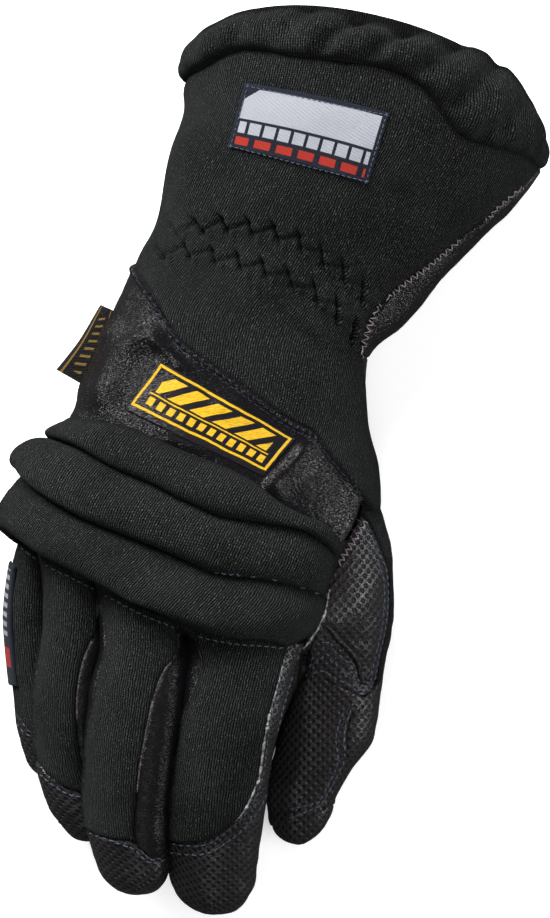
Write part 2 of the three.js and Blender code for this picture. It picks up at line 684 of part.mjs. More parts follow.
addNode("badge", patchSolid(patch(BADGE), 6, 4, LABEL), 0xf2d020, 0.6);
addNode(
  "side_tag",
  patchSolid(
    (u, v) => {
      const free = 1 - u;
      const root = sleevePoint(-1, SIDE_TAG.start + (SIDE_TAG.end - SIDE_TAG.start) * v);
      const out = SIDE_TAG.out[0] + (SIDE_TAG.out[1] - SIDE_TAG.out[0]) * v;
      const rise = SIDE_TAG.rise[0] + (SIDE_TAG.rise[1] - SIDE_TAG.rise[0]) * v;
      return root.add(vec(-TAG_GAP - out * free, rise * free, -SIDE_TAG.drop * free));
    },
    4,
    5,
    SIDE_TAG.thickness,
  ),
  0x1c1a18,
  0.8,
);

// Fingers: a knitted back, a leather front and a leather tip each, and the leather forks between them.
const NAMES = ["pinky", "ring", "middle", "index"];
for (const name of NAMES) {
  const seams = FINGER_SEAMS[name];
  const edge = (column, by = 0) => moved(along(seams, "section", column), by);
  const tipSeam = along(TIP_SEAMS[name], "degrees", "section");
  const last = DIGITS[name].rows.length;
  const tipFrom = TIP_SEAMS[name][0].degrees;
  const hasLeftFork = "leftFork" in seams[0];
  const hasRightFork = "rightFork" in seams[0];
  addNode(
    name + "_back",
    panel(finger(name), {
      from: edge("left", FINGER_DEGREES),
      to: edge("right", -FINGER_DEGREES),
      start: 0,
      end: moved(tipSeam, -FINGER_SECTIONS),
      columns: 6,
      rows: 9,
      wall: CLOTH,
    }),
    ...KNIT,
  );
  const around = (degrees) => (degrees < tipFrom ? degrees + 360 : degrees);
  addNode(
    name + "_front",
    panel(finger(name), {
      from: edge(hasRightFork ? "rightFork" : "right", FINGER_DEGREES),
      to: edge(hasLeftFork ? "leftFork" : "left", 360 - FINGER_DEGREES),
      start: 0,
      end: (degrees) => tipSeam(around(degrees)) - FINGER_SECTIONS,
      columns: 5,
      rows: 8,
      wall: LEATHER,
    }),
    ...HIDE,
  );
  addNode(
    name + "_tip",
    panel(finger(name), {
      from: tipFrom,
      to: tipFrom + 360,
      start: moved(tipSeam, FINGER_SECTIONS),
      end: last,
      columns: 14,
      rows: 6,
      wall: LEATHER,
      isRing: true,
    }),
    ...HIDE,
  );
}
// The leather between two fingers: a strip on each finger's side, the two of them meeting at the crotch.
for (const [name, which, low, high] of [
  ["pinky", "right", "right", "rightFork"],
  ["ring", "left", "leftFork", "left"],
  ["ring", "right", "right", "rightFork"],
  ["middle", "left", "leftFork", "left"],
  ["middle", "right", "right", "rightFork"],
  ["index", "left", "leftFork", "left"],
]) {
  const tipSeam = along(TIP_SEAMS[name], "degrees", "section");
  const tipFrom = TIP_SEAMS[name][0].degrees;
  addNode(
    `${name}_${which}_side`,
    panel(finger(name), {
      from: moved(along(FINGER_SEAMS[name], "section", low), FINGER_DEGREES),
      to: moved(along(FINGER_SEAMS[name], "section", high), -FINGER_DEGREES),
      start: 0,
      end: (degrees) => tipSeam(degrees < tipFrom ? degrees + 360 : degrees) - FINGER_SECTIONS,
      columns: 3,
      rows: 10,
      wall: LEATHER,
    }),
    ...HIDE,
  );
}
addNode(
  "pinky_label",
  panel(finger("pinky"), {
    ...PINKY_LABEL,
    columns: 5,
    rows: 8,
    proud: PATCH_GAP + LABEL,
    wall: -PATCH_GAP,
  }),
  0x1c2230,
  0.8,
);

// Thumb
const ring = (column, by = 0) => moved(along(THUMB_RINGS, "degrees", column), by);
const side = (column, by = 0) => moved(along(THUMB_SIDES, "section", column), by);
addNode(
  "gusset",
  panel(thumbPoint, {
    from: THUMB_LEFT + FINGER_DEGREES,
    to: side("back", -FINGER_DEGREES),
    start: 0,
    end: ring("piping", -FINGER_SECTIONS),
    columns: 8,
    rows: 7,
    wall: LEATHER,
  }),
  ...HIDE,
);
addNode(
  "thumb_saddle",
  panel(thumbPoint, {
    from: THUMB_LEFT + FINGER_DEGREES,
    to: side("back", -FINGER_DEGREES),
    start: ring("piping", PIPING_GAP),
    end: ring("saddle", -FINGER_SECTIONS),
    columns: 8,
    rows: 3,
    proud: (over, down) => PIPING_LIFT * (1 - down),
    wall: LEATHER,
  }),
  ...HIDE,
);
addNode(
  "thumb_back",
  panel(thumbPoint, {
    from: THUMB_LEFT + FINGER_DEGREES,
    to: side("back", -FINGER_DEGREES),
    start: ring("saddle", 2 * FINGER_SECTIONS),
    end: ring("tip", -FINGER_SECTIONS),
    columns: 7,
    rows: 8,
    wall: LEATHER,
  }),
  ...HIDE,
);
addNode(
  "thumb_strip",
  panel(thumbPoint, {
    from: side("back", FINGER_DEGREES),
    to: side("outer", -STRIP_GAP),
    start: 0,
    end: STRIP_END,
    columns: 4,
    rows: 7,
    wall: CLOTH,
  }),
  ...KNIT,
);
addNode(
  "thumb_front",
  panel(thumbPoint, {
    from: side("outer", FINGER_DEGREES),
    to: 360 + THUMB_LEFT - FINGER_DEGREES,
    start: 0,
    end: THUMB_FRONT_END - FINGER_SECTIONS,
    columns: 9,
    rows: 11,
    wall: LEATHER,
  }),
  ...HIDE,
);
addNode(
  "thumb_tip",
  panel(thumbPoint, {
    from: THUMB_LEFT,
    to: THUMB_LEFT + 360,
    start: (degrees) => (degrees > THUMB_RIGHT ? THUMB_FRONT_END : ring("tip")(degrees)) + FINGER_SECTIONS,
    end: THUMB.length,
    columns: 14,
    rows: 5,
    wall: LEATHER,
    isRing: true,
  }),
  ...HIDE,
);

export default glove;
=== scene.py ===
# %% [markdown]
# # A fire-resistant work glove
# The glove lies on its palm, as its cut and its stuffing-free leather let it: the back of the hand faces up,
# the fingers point down the picture and the flared cuff lies at the top. A knitted, fire-resistant cloth covers
# the back; the palm side, the fingertips and the thumb are leather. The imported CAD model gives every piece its
# place and size. This script gives each one its cloth or leather, seams, stitches and folds.

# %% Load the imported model
from types import SimpleNamespace

import bmesh
import bpy
import numpy as np
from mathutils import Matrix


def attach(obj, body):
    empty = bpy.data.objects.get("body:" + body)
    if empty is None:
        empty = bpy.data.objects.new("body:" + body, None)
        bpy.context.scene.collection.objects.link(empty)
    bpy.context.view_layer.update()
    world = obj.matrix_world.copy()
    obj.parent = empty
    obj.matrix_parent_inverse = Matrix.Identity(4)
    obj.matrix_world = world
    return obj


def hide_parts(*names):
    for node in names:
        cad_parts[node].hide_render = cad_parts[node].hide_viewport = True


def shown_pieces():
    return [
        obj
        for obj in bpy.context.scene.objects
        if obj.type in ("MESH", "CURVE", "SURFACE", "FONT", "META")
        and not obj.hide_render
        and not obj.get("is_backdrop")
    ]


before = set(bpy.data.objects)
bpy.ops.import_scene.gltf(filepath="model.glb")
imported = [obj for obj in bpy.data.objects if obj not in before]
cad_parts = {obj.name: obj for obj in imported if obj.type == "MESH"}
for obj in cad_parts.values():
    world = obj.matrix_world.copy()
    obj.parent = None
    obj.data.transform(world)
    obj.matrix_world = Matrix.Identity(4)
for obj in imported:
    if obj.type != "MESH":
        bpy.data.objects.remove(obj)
bpy.context.view_layer.update()
MM = 0.001  # metres in a millimetre; the shapes below are worked out in millimetres

# %% [markdown]
# ## Camera, floor and light
# The photograph looks straight down on the glove, so the camera hangs above it with a long lens, which keeps
# the thick cuff and the thin fingertips to one scale. The picture is 550 by 918 pixels and a pixel is 0.35 mm.

# %% Camera above the glove
PICTURE_HIGH = 918  # pixels
PIXEL = 0.35  # millimetres of the glove to a pixel
CAMERA_HEIGHT = 2.6  # metres above the middle of the glove
MID_HEIGHT = 0.035  # metres, the height whose scale is PIXEL
SENSOR = 36  # millimetres along the picture's long side

camera_data = bpy.data.cameras.new("camera")
camera_data.sensor_width = SENSOR
camera_data.lens = SENSOR * CAMERA_HEIGHT / (PICTURE_HIGH * PIXEL * MM)
camera_data.clip_end = 20
camera = bpy.data.objects.new("camera", camera_data)
camera.location = (0, 0.0003, CAMERA_HEIGHT + MID_HEIGHT)
bpy.context.scene.collection.objects.link(camera)
bpy.context.scene.camera = camera
print(f"lens {camera_data.lens:.0f} mm")

# %% [markdown]
# Black leather shows its shape only by what it mirrors. So three soft lamps stand low to its left, right and
# front, as softboxes in a studio do, kept apart, and the world around them stays dim. Two larger lamps above,
# which the leather doesn't mirror, give the knitted cloth its light and shade.

# %% Floor, lamps and world
FLOOR_HALF = 8  # metres from the middle of the floor to its edge
floor_mesh = bpy.data.meshes.new("floor")
corners = [(-1, -1), (1, -1), (1, 1), (-1, 1)]
floor_mesh.from_pydata([(x * FLOOR_HALF, y * FLOOR_HALF, 0) for x, y in corners], [], [(0, 1, 2, 3)])
floor = bpy.data.objects.new("floor", floor_mesh)
bpy.context.scene.collection.objects.link(floor)
floor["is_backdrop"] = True


def lamp(name, place, size, power, mirrored=True):
    """A square soft lamp of that size in metres at a place, turned to face the glove."""
    data = bpy.data.lights.new(name, "AREA")
    data.shape = "SQUARE"
    data.size = size
    data.energy = power
    made = bpy.data.objects.new(name, data)
    made.location = place
    made.rotation_euler = (-made.location).to_track_quat("-Z", "Y").to_euler()
    made.visible_camera = False
    made.visible_glossy = mirrored
    bpy.context.scene.collection.objects.link(made)


lamp("lamp_left", (-1.05, 0.95, 0.42), 0.4, 14)
lamp("lamp_right", (1.2, -0.1, 0.36), 0.5, 8)
lamp("lamp_front", (-0.25, -1.3, 0.9), 0.5, 1.5)
lamp("key", (-0.55, 1.25, 1.1), 1.0, 74, mirrored=False)  # gives the cloth its light and shade
lamp("fill", (0.5, -0.4, 1.7), 1.6, 21, mirrored=False)  # lifts the shade without a haze on the leather
WORLD_LIGHT, WORLD_SEEN = 0.045, 0.9  # what lights the glove is dim, and what the camera sees directly is pale
world = bpy.data.worlds.new("studio")
world.use_nodes = True
background = world.node_tree.nodes["Background"]
path = world.node_tree.nodes.new("ShaderNodeLightPath")
shown = world.node_tree.nodes.new("ShaderNodeMapRange")
shown.inputs["To Min"].default_value, shown.inputs["To Max"].default_value = WORLD_LIGHT, WORLD_SEEN
world.node_tree.links.new(path.outputs["Is Camera Ray"], shown.inputs["Value"])
world.node_tree.links.new(shown.outputs[0], background.inputs["Strength"])
background.inputs["Color"].default_value = (1, 1, 1, 1)
bpy.context.scene.world = world
bpy.context.scene.view_settings.view_transform = "Standard"

# %% [markdown]
# ## The form under the glove
# A real glove takes its shape from the hand-shaped form it is dried on. Here the form is three kinds of tube:
# the sleeve over forearm and hand, a thumb, and four fingers. Each is a short table of cross-sections, and a
# smooth curve through the rows gives every section between them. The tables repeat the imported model's, in
# millimetres, so that every piece of cloth stays where the model has it.

# %% Tables with named columns


def table(columns, rows):
    """A table as a dictionary: each column's name with an array that has one entry for each row."""
    return {name: np.array([row[k] for row in rows], float) for k, name in enumerate(columns.split())}


SLEEVE = table("left right up down lean round", [
    ((-34, 139, 38), (94, 107.5, 38), 36, 43, 31, 0.95),
    ((-33, 132, 38), (94, 102.5, 38), 38, 43, 18, 0.95),
    ((-32, 119.5, 38), (84, 88.5, 38), 37, 43, 11, 0.95),
    ((-37.5, 100.5, 36), (69.5, 75, 36), 34, 41, 8, 0.95),
    ((-41.5, 83, 33), (56.5, 60.5, 33), 31, 36, 6, 0.9),
    ((-48.5, 70.5, 31), (44.5, 46.5, 31), 29, 32, 4, 0.9),
    ((-55.5, 55, 30), (33, 35.5, 31), 29, 30, 2, 0.9),
    ((-61.5, 35, 27), (32.5, 14.5, 31), 33, 28, 0, 0.9),
    ((-73, 13.5, 21), (36.5, -3.5, 32), 38, 25, 0, 0.9),
    ((-84.5, -1.5, 18), (36.5, -21, 35), 40, 22, 0, 0.9),
    ((-88, -12, 16), (31.5, -36, 39), 40, 17, -1, 0.93),
    ((-90, -19, 15), (25, -49, 44), 38, 12, -2, 0.96),
    ((-92, -24.5, 14), (18.5, -60.5, 49), 37.5, 12, -3, 1),
    ((-93.5, -29, 14), (12, -69, 53), 35.5, 10.5, -3, 1),
])
THUMB = table("left right up down lean round", [
    ((13, -68, 50), (37.5, -12, 32), 13, 20, 0, 1),
    ((11.5, -72, 43), (41, -34.5, 28), 14, 20, 0, 1),
    ((8, -80.5, 34), (41.5, -53.5, 24), 14, 20, 0, 1),
    ((4, -89.5, 26), (39, -70, 21), 14, 18, 0, 1),
    ((1, -98, 21), (37, -86, 18.5), 14, 16, 0, 1),
    ((-1.5, -108.5, 17.5), (34.5, -98.5, 16.5), 14, 15, 0, 1),
    ((-3, -117, 15.5), (27, -109, 15), 13, 14, 0, 1),
    ((-2, -124.5, 13), (21.5, -119.5, 13), 11, 12, 0, 1),
])
FINGERS = {
    "index": table("at half thick turn", [
        ((-10, -62, 53.2), 18, 13.6, 8),
        ((-12.5, -75.5, 54.6), 18, 14, 8),
        ((-16, -90, 54), 17.5, 14, 8),
        ((-19, -108.5, 48), 17.3, 14, 8),
        ((-21.2, -129.5, 39), 16.8, 13, 8),
        ((-21.5, -144.5, 31), 15.2, 12, 8),
    ]),
    "middle": table("at half thick turn", [
        ((-43.5, -54, 51), 15, 13, 32),
        ((-46, -69, 52), 15.6, 13, 32),
        ((-49.2, -86, 52), 15.9, 12, 32),
        ((-51.8, -105, 48), 15.8, 11.2, 32),
        ((-52.5, -124.5, 41), 15.6, 10.6, 32),
        ((-50, -138.5, 34.5), 14, 10.2, 32),
    ]),
    "ring": table("at half thick turn", [
        ((-67, -46, 37), 12.5, 10.5, 48),
        ((-70.5, -64, 36), 12.5, 10.2, 48),
        ((-73.5, -82.5, 33), 12.4, 9.5, 48),
        ((-74, -100, 28.5), 11.6, 9, 44),
        ((-71.8, -115.5, 24.5), 10.8, 8.8, 38),
        ((-67.8, -123.5, 21.5), 9.6, 8.5, 35),
    ]),
    "pinky": table("at half thick turn", [
        ((-84.5, -38, 20), 11.5, 10.5, 58),
        ((-84.8, -57, 13.5), 11.3, 10, 58),
        ((-84, -76, 10.3), 10.6, 9.2, 58),
        ((-82.5, -92.5, 9.3), 10, 8.4, 58),
        ((-80.5, -103, 8.3), 8.8, 7.8, 58),
    ]),
}
TIP_LENGTH = {"index": 15.5, "middle": 14.5, "ring": 11, "pinky": 9.5, "thumb": 13.5}
MOUTH_DEGREES = {"index": (101.4, 170), "middle": (68.5, 101.4), "ring": (39, 68.5), "pinky": (2, 39)}
MOUTH = 13  # the sleeve's section where the fingers begin
MOUTH_TUCK = 3.8  # how far a finger's or the thumb's rim sits inside the sleeve
MOUTH_SECTION = MOUTH - MOUTH_TUCK / 8
MOUTH_FILL = 0.98  # share of its strip of the mouth that a finger fills
MOUTH_SQUARE = 0.6  # the power of a finger's rim, squarer than the finger
HOLE = SimpleNamespace(section=10.4, sections=2.35, degrees=182, above=28, below=32, shrink=0.9)
TIP_TAPER, TIP_LEAN = 1.15, 0.25  # the thumb's tip: the power of its taper, and its lean towards the fingers
FLOOR_BLEND = 1.5  # height over which a wall bends into its flat resting face
print(len(SLEEVE["up"]), "sections of the sleeve,", len(THUMB["up"]), "of the thumb")

# %% [markdown]
# A section's outline is an ellipse with a power on it, which makes it squarer. Degrees run 0 at its left edge,
# 90 on top, 180 at its right edge and 270 below. All the functions below take whole arrays of degrees and
# sections, so a piece with a hundred thousand points is one call.

# %% Smooth curves through a table's rows
UP = np.array([0.0, 0.0, 1.0])


def curve(column, at):
    """The Catmull-Rom curve through a column at row numbers that need not be whole: between two rows a cubic
    whose slope at each row is half the step between that row's neighbours."""
    last = len(column) - 1
    k = np.clip(np.floor(at).astype(int), 0, last - 1)
    before, start, end, after = (column[np.clip(k + step, 0, last)] for step in (-1, 0, 1, 2))
    t = at - k if column.ndim == 1 else (at - k)[..., None]
    return (
        (2 * t**3 - 3 * t**2 + 1) * start
        + (t**3 - 2 * t**2 + t) * (end - before) / 2
        + (3 * t**2 - 2 * t**3) * end
        + (t**3 - t**2) * (after - start) / 2
    )


def unit(vectors):
    """Vectors of length 1 in the same directions."""
    return vectors / np.maximum(np.linalg.norm(vectors, axis=-1, keepdims=True), 1e-12)


def powered(value, power):
    """The value's size to a power, with its sign kept."""
    return np.sign(value) * np.abs(value) ** power


def rested(points):
    """A soft wall lies flat where it rests: heights under the floor become 0, with a short bend above it."""
    low = np.clip(points[..., 2], -FLOOR_BLEND, FLOOR_BLEND)
    bent = (low + FLOOR_BLEND) ** 2 / (4 * FLOOR_BLEND)
    points[..., 2] = np.where(points[..., 2] > FLOOR_BLEND, points[..., 2], bent)
    return points


def section_points(rows, degrees, section, shrink=1.0):
    """Points of an edged section: from its middle, half the width times minus the powered cosine along its
    line, and the rise or drop times the powered sine off it; the top also leans along the tube."""
    row = {name: curve(column, section) for name, column in rows.items()}
    angle = np.radians(degrees)
    across = -powered(np.cos(angle), row["round"]) * shrink
    rise = powered(np.sin(angle), row["round"]) * shrink
    half = (row["right"] - row["left"]) / 2
    line = unit(half)
    upward = unit(UP - line * line[..., 2:])
    cuffward = unit(np.cross(UP, line) * (1, 1, 0))
    height = np.where(rise > 0, row["up"], row["down"]) * rise
    lean = row["lean"] * np.maximum(rise, 0)
    middle = (row["right"] + row["left"]) / 2
    return middle + half * across[..., None] + upward * height[..., None] + cuffward * lean[..., None]


# %% The sleeve, thumb and finger surfaces


def sleeve(degrees, section):
    """Points on the outside of the sleeve over forearm and hand."""
    return rested(section_points(SLEEVE, degrees, section))


def smoothstep(x, start=0.0, end=1.0):
    """0 below start, 1 above end, and a smooth step between them."""
    t = np.clip((x - start) / (end - start), 0, 1)
    return t * t * (3 - 2 * t)


def outward(surface, degrees, section):
    """Unit normals of a surface: the cross product of a short step along it and a short step around it."""
    turn, step = 1.0, 0.02
    around = surface(degrees + turn, section) - surface(degrees - turn, section)
    onward = surface(degrees, section + step) - surface(degrees, section - step)
    return unit(np.cross(onward, around))


def thumb(degrees, section):
    """Points on the outside of the thumb. Its rim lies in the sleeve's hole, and its last section is drawn in
    by a cosine and pushed on by a sine into a round tip."""
    last = len(THUMB["up"]) - 1
    tip = np.radians(90 * np.clip(section - last, 0, 1))
    body = np.clip(section, 0, last)
    points = section_points(THUMB, degrees, body, np.cos(tip) ** TIP_TAPER)
    line = unit(curve(THUMB["right"], body) - curve(THUMB["left"], body))
    onward = unit(np.cross(line, UP)) - TIP_LEAN * line
    points += onward * (TIP_LENGTH["thumb"] * np.sin(tip))[..., None]
    root = section < 1
    around = np.radians(degrees[root])
    wide = np.where(np.sin(around) > 0, HOLE.above, HOLE.below)
    rim_degrees = HOLE.degrees - wide * HOLE.shrink * np.sin(around)
    rim_section = HOLE.section + HOLE.sections * HOLE.shrink * np.cos(around)
    rim = sleeve(rim_degrees, rim_section) - outward(sleeve, rim_degrees, rim_section) * MOUTH_TUCK
    points[root] = rim + (points[root] - rim) * smoothstep(section[root])[..., None]
    return rested(points)


def finger(name):
    """The surface of one finger: a tilted ellipse carried along its middle line, whose first section is a strip
    of the sleeve's mouth, tucked inside the sleeve, and whose last one closes in a round tip."""
    rows = FINGERS[name]
    last = len(rows["half"]) - 1
    first_degrees, last_degrees = MOUTH_DEGREES[name]

    def surface(degrees, section):
        body = np.clip(section, 0, last)
        at = curve(rows["at"], body)
        forward = unit(at - curve(rows["at"], body - 0.01))
        side = unit(np.cross(UP, forward))
        top = np.cross(forward, side)
        turn = np.radians(curve(rows["turn"], body))[..., None]
        line = side * np.cos(turn) + top * np.sin(turn)
        back = top * np.cos(turn) - side * np.sin(turn)
        tip = np.radians(90 * np.clip(section - last, 0, 1))
        angle = np.radians(degrees)
        wide = -np.cos(angle) * curve(rows["half"], body) * np.cos(tip)
        thick = np.sin(angle) * curve(rows["thick"], body) * np.cos(tip)
        onward = TIP_LENGTH[name] * np.sin(tip)
        points = at + line * wide[..., None] + back * thick[..., None] + forward * onward[..., None]
        root = section < 1
        over = first_degrees + (last_degrees - first_degrees) * (1 - MOUTH_FILL * np.cos(angle[root])) / 2
        mouth = np.full_like(over, MOUTH_SECTION)
        above = sleeve(over, mouth) - outward(sleeve, over, mouth) * MOUTH_TUCK
        below = sleeve(-over, mouth) - outward(sleeve, -over, mouth) * MOUTH_TUCK
        rim = below + (above - below) * ((1 + powered(np.sin(angle[root]), MOUTH_SQUARE)) / 2)[..., None]
        points[root] = rim + (points[root] - rim) * smoothstep(section[root])[..., None]
        return rested(points)

    return surface


SURFACES = {"sleeve": sleeve, "thumb": thumb, **{name: finger(name) for name in FINGERS}}
print("surfaces:", ", ".join(SURFACES))

# %% [markdown]
# ## Seams drawn on the plan
# The seams are known from above, where the photograph shows them, so each is a short table of points in
# millimetres on the plan, as the camera sees it. `placed` finds the degrees and section under each point, as a
# tailor pins a paper pattern onto the form, and `through` runs a smooth curve through them.

# %% From the plan to the surface, and curves through points


def seen(points):
    """Where the camera sees points on the plan: x and y stretched from the middle as their height nears it."""
    height = (MID_HEIGHT / MM - points[..., 2:]) + CAMERA_HEIGHT / MM
    return points[..., :2] * (CAMERA_HEIGHT / MM / height)


COARSE, NEWTON_STEPS = (120, 160), 4


def placed(surface, plan, span=(-30, 215), sections=(0, 14)):
    """Degrees and section of the surface's points that the camera sees at these places on the plan: the
    nearest one on a coarse grid of the upper side, then a few Newton steps."""
    plan = np.array(plan, float)
    degrees, section = np.meshgrid(np.linspace(*span, COARSE[0]), np.linspace(*sections, COARSE[1]))
    spots = seen(surface(degrees, section))
    facing_up = outward(surface, degrees, section)[..., 2] > 0.02
    apart = np.where(facing_up, ((spots - plan[:, None, None]) ** 2).sum(-1), 1e9)
    nearest = apart.reshape(len(plan), -1).argmin(1)
    d, s = degrees.ravel()[nearest], section.ravel()[nearest]
    for _ in range(NEWTON_STEPS):
        here = seen(surface(d, s))
        by_degree = (seen(surface(d + 0.5, s)) - seen(surface(d - 0.5, s)))
        by_section = (seen(surface(d, s + 0.01)) - seen(surface(d, s - 0.01))) * 50
        det = by_degree[:, 0] * by_section[:, 1] - by_degree[:, 1] * by_section[:, 0]
        miss = plan - here
        step_d = (miss[:, 0] * by_section[:, 1] - miss[:, 1] * by_section[:, 0]) / det
        step_s = (by_degree[:, 0] * miss[:, 1] - by_degree[:, 1] * miss[:, 0]) / det
        d, s = d + np.clip(step_d, -4, 4), s + np.clip(step_s, -0.2, 0.2)
    return d, np.clip(s, *sections)


def through(x, y):
    """A smooth function through points, level beyond the first and last. Its slope at a point is the mean of
    the two beside it, and 0 where they differ in sign, so it never swings past a point."""
    order = np.argsort(x)
    x, y = np.asarray(x, float)[order], np.asarray(y, float)[order]
    rise = np.diff(y) / np.diff(x)
    slope = np.concatenate([[0], np.where(rise[1:] * rise[:-1] > 0, (rise[1:] + rise[:-1]) / 2, 0), [0]])
    slope[0], slope[-1] = rise[0], rise[-1]
    limit = 3 * np.minimum(np.abs(np.append(rise, rise[-1])), np.abs(np.insert(rise, 0, rise[0])))
    slope = np.clip(slope, -limit, limit)

    def function(at):
        at = np.clip(at, x[0], x[-1])
        k = np.clip(np.searchsorted(x, at) - 1, 0, len(x) - 2)
        wide = x[k + 1] - x[k]
        t = (at - x[k]) / wide
        return (
            (2 * t**3 - 3 * t**2 + 1) * y[k]
            + (t**3 - 2 * t**2 + t) * wide * slope[k]
            + (3 * t**2 - 2 * t**3) * y[k + 1]
            + (t**3 - t**2) * wide * slope[k + 1]
        )

    return function


def value(edge, at):
    """An edge's value: a number stays, and a function is called."""
    return edge(at) if callable(edge) else np.full_like(at, edge)


def shifted(edge, by):
    """An edge moved by a fixed amount."""
    return lambda at: value(edge, at) + by


# %% [markdown]
# ## Cut pieces and their meshes
# A piece is the part of a surface between four edges: two that run along the tube, in degrees, and two across
# it, in sections. Slanted edges depend on each other, so a few passes find the points between them. Each piece
# also knows how far its points lie from its edges in millimetres, because the seams, the stitches, the wear and
# the painted shade beside the knit's seams all keep a distance from an edge.

# %% A piece of a surface between four edges
PASSES = 12
ROUGH_GRID, TYPICAL = 25, 80  # a piece is first measured on a small grid; its size is the 80th of 100 of its lines


def lengths(points, axis):
    """Running length in millimetres along one axis of a grid of points, from 0."""
    steps = np.linalg.norm(np.diff(points, axis=axis), axis=-1)
    return np.insert(np.cumsum(steps, axis=axis), 0, 0, axis=axis)


def between_lines(u, v, left, right, top, bottom):
    """A Coons patch: the two blends between opposite lines, added, less the blend between the corners. Each
    line is a list of (degrees, section) points, smoothed and evenly stepped in about millimetres."""
    scale = np.array([0.3, 20.0])

    def on(line, at):
        line = smooth_line(np.array(line, float) * scale, 0.5) / scale
        return np.stack([np.interp(at * (len(line) - 1), np.arange(len(line)), line[:, k]) for k in (0, 1)], -1)

    u1, v1 = u[..., None], v[..., None]
    corner = [np.array(p, float) for p in (top[0], top[-1], bottom[0], bottom[-1])]
    rim = on(top, u) * (1 - v1) + on(bottom, u) * v1 + on(left, v) * (1 - u1) + on(right, v) * u1
    plane = (corner[0] * (1 - u1) + corner[1] * u1) * (1 - v1) + (corner[2] * (1 - u1) + corner[3] * u1) * v1
    return (rim - plane)[..., 0], (rim - plane)[..., 1]


def measured(points, normals, **more):
    """A piece from its grid of points and normals, with each point's distance from the four edges."""
    across, down = lengths(points, 1), lengths(points, 0)
    return SimpleNamespace(
        points=points, normals=normals, plan=seen(points), left=across, right=across[:, -1:] - across,
        top=down, bottom=down[-1:] - down, **more,
    )


def cut(kind, left, right, top, bottom, spacing=0.5, coarse=4, ring=False):
    """The grid of points of one piece: degrees and sections between its edges, then points, normals and
    running lengths. The numbers of rows and columns follow from the spacing and are multiples of coarse."""
    surface = SURFACES[kind]

    def solved(columns, rows):
        u, v = np.meshgrid(np.linspace(0, 1, columns), np.linspace(0, 1, rows))
        if isinstance(top, list):
            return (u, v, *between_lines(u, v, left, right, top, bottom))
        degrees = np.full_like(u, 90.0)
        section = (value(top, degrees) + value(bottom, degrees)) / 2
        for _ in range(PASSES):
            first, last = value(left, section), value(right, section)
            degrees = first + (last - first) * u
            begin, end = value(top, degrees), value(bottom, degrees)
            section = begin + (end - begin) * v
        return u, v, degrees, section

    _, _, degrees, section = solved(ROUGH_GRID, ROUGH_GRID)
    rough = surface(degrees, section)
    wide = np.percentile(lengths(rough, 1)[:, -1], TYPICAL)
    long = np.percentile(lengths(rough, 0)[-1], TYPICAL)
    columns = max(2, round(wide / spacing / coarse)) * coarse + 1
    rows = max(2, round(long / spacing / coarse)) * coarse + 1
    u, v, degrees, section = solved(columns, rows)
    points = surface(degrees, section)
    normals = outward(surface, degrees, section)
    normals[-1] = np.where(np.linalg.norm(normals[-1:], axis=-1, keepdims=True) < 0.5,
                           unit(normals[-2].mean(0)), normals[-1])  # a tip's pole has no step around it
    return measured(points, normals, kind=kind, u=u, v=v, degrees=degrees, section=section, ring=ring, coarse=coarse)


LOOKUP = SimpleNamespace(start=-60, step=2, columns=246, sections=14, rows_each=10)  # degrees, and rows a section
BACK_COLUMN = (90 - LOOKUP.start) // LOOKUP.step  # the column at the middle of the back


def cloth_measure(kind):
    """A lookup from degrees and section to millimetres of cloth: around from the middle of the back, and along
    from the first section. Pieces on one surface share it, so knit and grain run on across their seams."""
    degrees, section = np.meshgrid(
        np.linspace(LOOKUP.start, LOOKUP.start + LOOKUP.step * (LOOKUP.columns - 1), LOOKUP.columns),
        np.linspace(0, LOOKUP.sections, LOOKUP.sections * LOOKUP.rows_each + 1),
    )
    last = {"sleeve": 13.2, "thumb": len(THUMB["up"])}.get(kind) or len(FINGERS[kind]["half"])
    points = SURFACES[kind](degrees, np.minimum(section, last))
    if kind == "thumb":  # it widens fast at its root, so its leather is measured straight down the plan
        around = lengths(points * (1, 0, 1), 1)
        return around - around[:, BACK_COLUMN, None] + points[:, BACK_COLUMN, None, 0], -points[..., 1]
    around = lengths(points, 1)
    return around - around[:, BACK_COLUMN, None], lengths(points, 0)


MEASURES = {kind: cloth_measure(kind) for kind in SURFACES}


def cloth_place(piece):
    """A piece's UV map, in millimetres of cloth: the measure's two tables blended between their grid points."""
    x = np.clip((piece.degrees - LOOKUP.start) / LOOKUP.step, 0, LOOKUP.columns - 1.001)
    y = np.clip(piece.section * LOOKUP.rows_each, 0, LOOKUP.sections * LOOKUP.rows_each - 0.001)
    i, j = x.astype(int), y.astype(int)
    tables = np.stack(MEASURES[piece.kind], -1)
    fx, fy = (x - i)[..., None], (y - j)[..., None]
    upper = tables[j, i] * (1 - fx) + tables[j, i + 1] * fx
    lower = tables[j + 1, i] * (1 - fx) + tables[j + 1, i + 1] * fx
    return upper * (1 - fy) + lower * fy


print({kind: f"{m[1][-1, BACK_COLUMN]:.0f} mm long" for kind, m in MEASURES.items()})

# %% [markdown]
# A piece of cloth has two faces and a cut edge all round. Its outside is the full grid; the inside, which
# hardly shows, uses every fourth point of it; and one face with six corners or so joins each stretch of the two
# borders, so the mesh is closed without wasting faces.

# %% A closed mesh from an outside and an inside grid


def grid_faces(numbers, flip=False):
    """Quads between neighbouring rows and columns of a grid of point numbers."""
    quads = np.stack([numbers[:-1, :-1], numbers[:-1, 1:], numbers[1:, 1:], numbers[1:, :-1]], -1).reshape(-1, 4)
    return quads[:, ::-1] if flip else quads


def border(numbers, ring):
    """The border of a grid of point numbers, clockwise: one loop, or a ring's first and last row."""
    if ring:
        return [numbers[0], numbers[-1, ::-1]]
    return [np.concatenate([numbers[0], numbers[1:, -1], numbers[-1, -2::-1], numbers[-2::-1, 0]])]


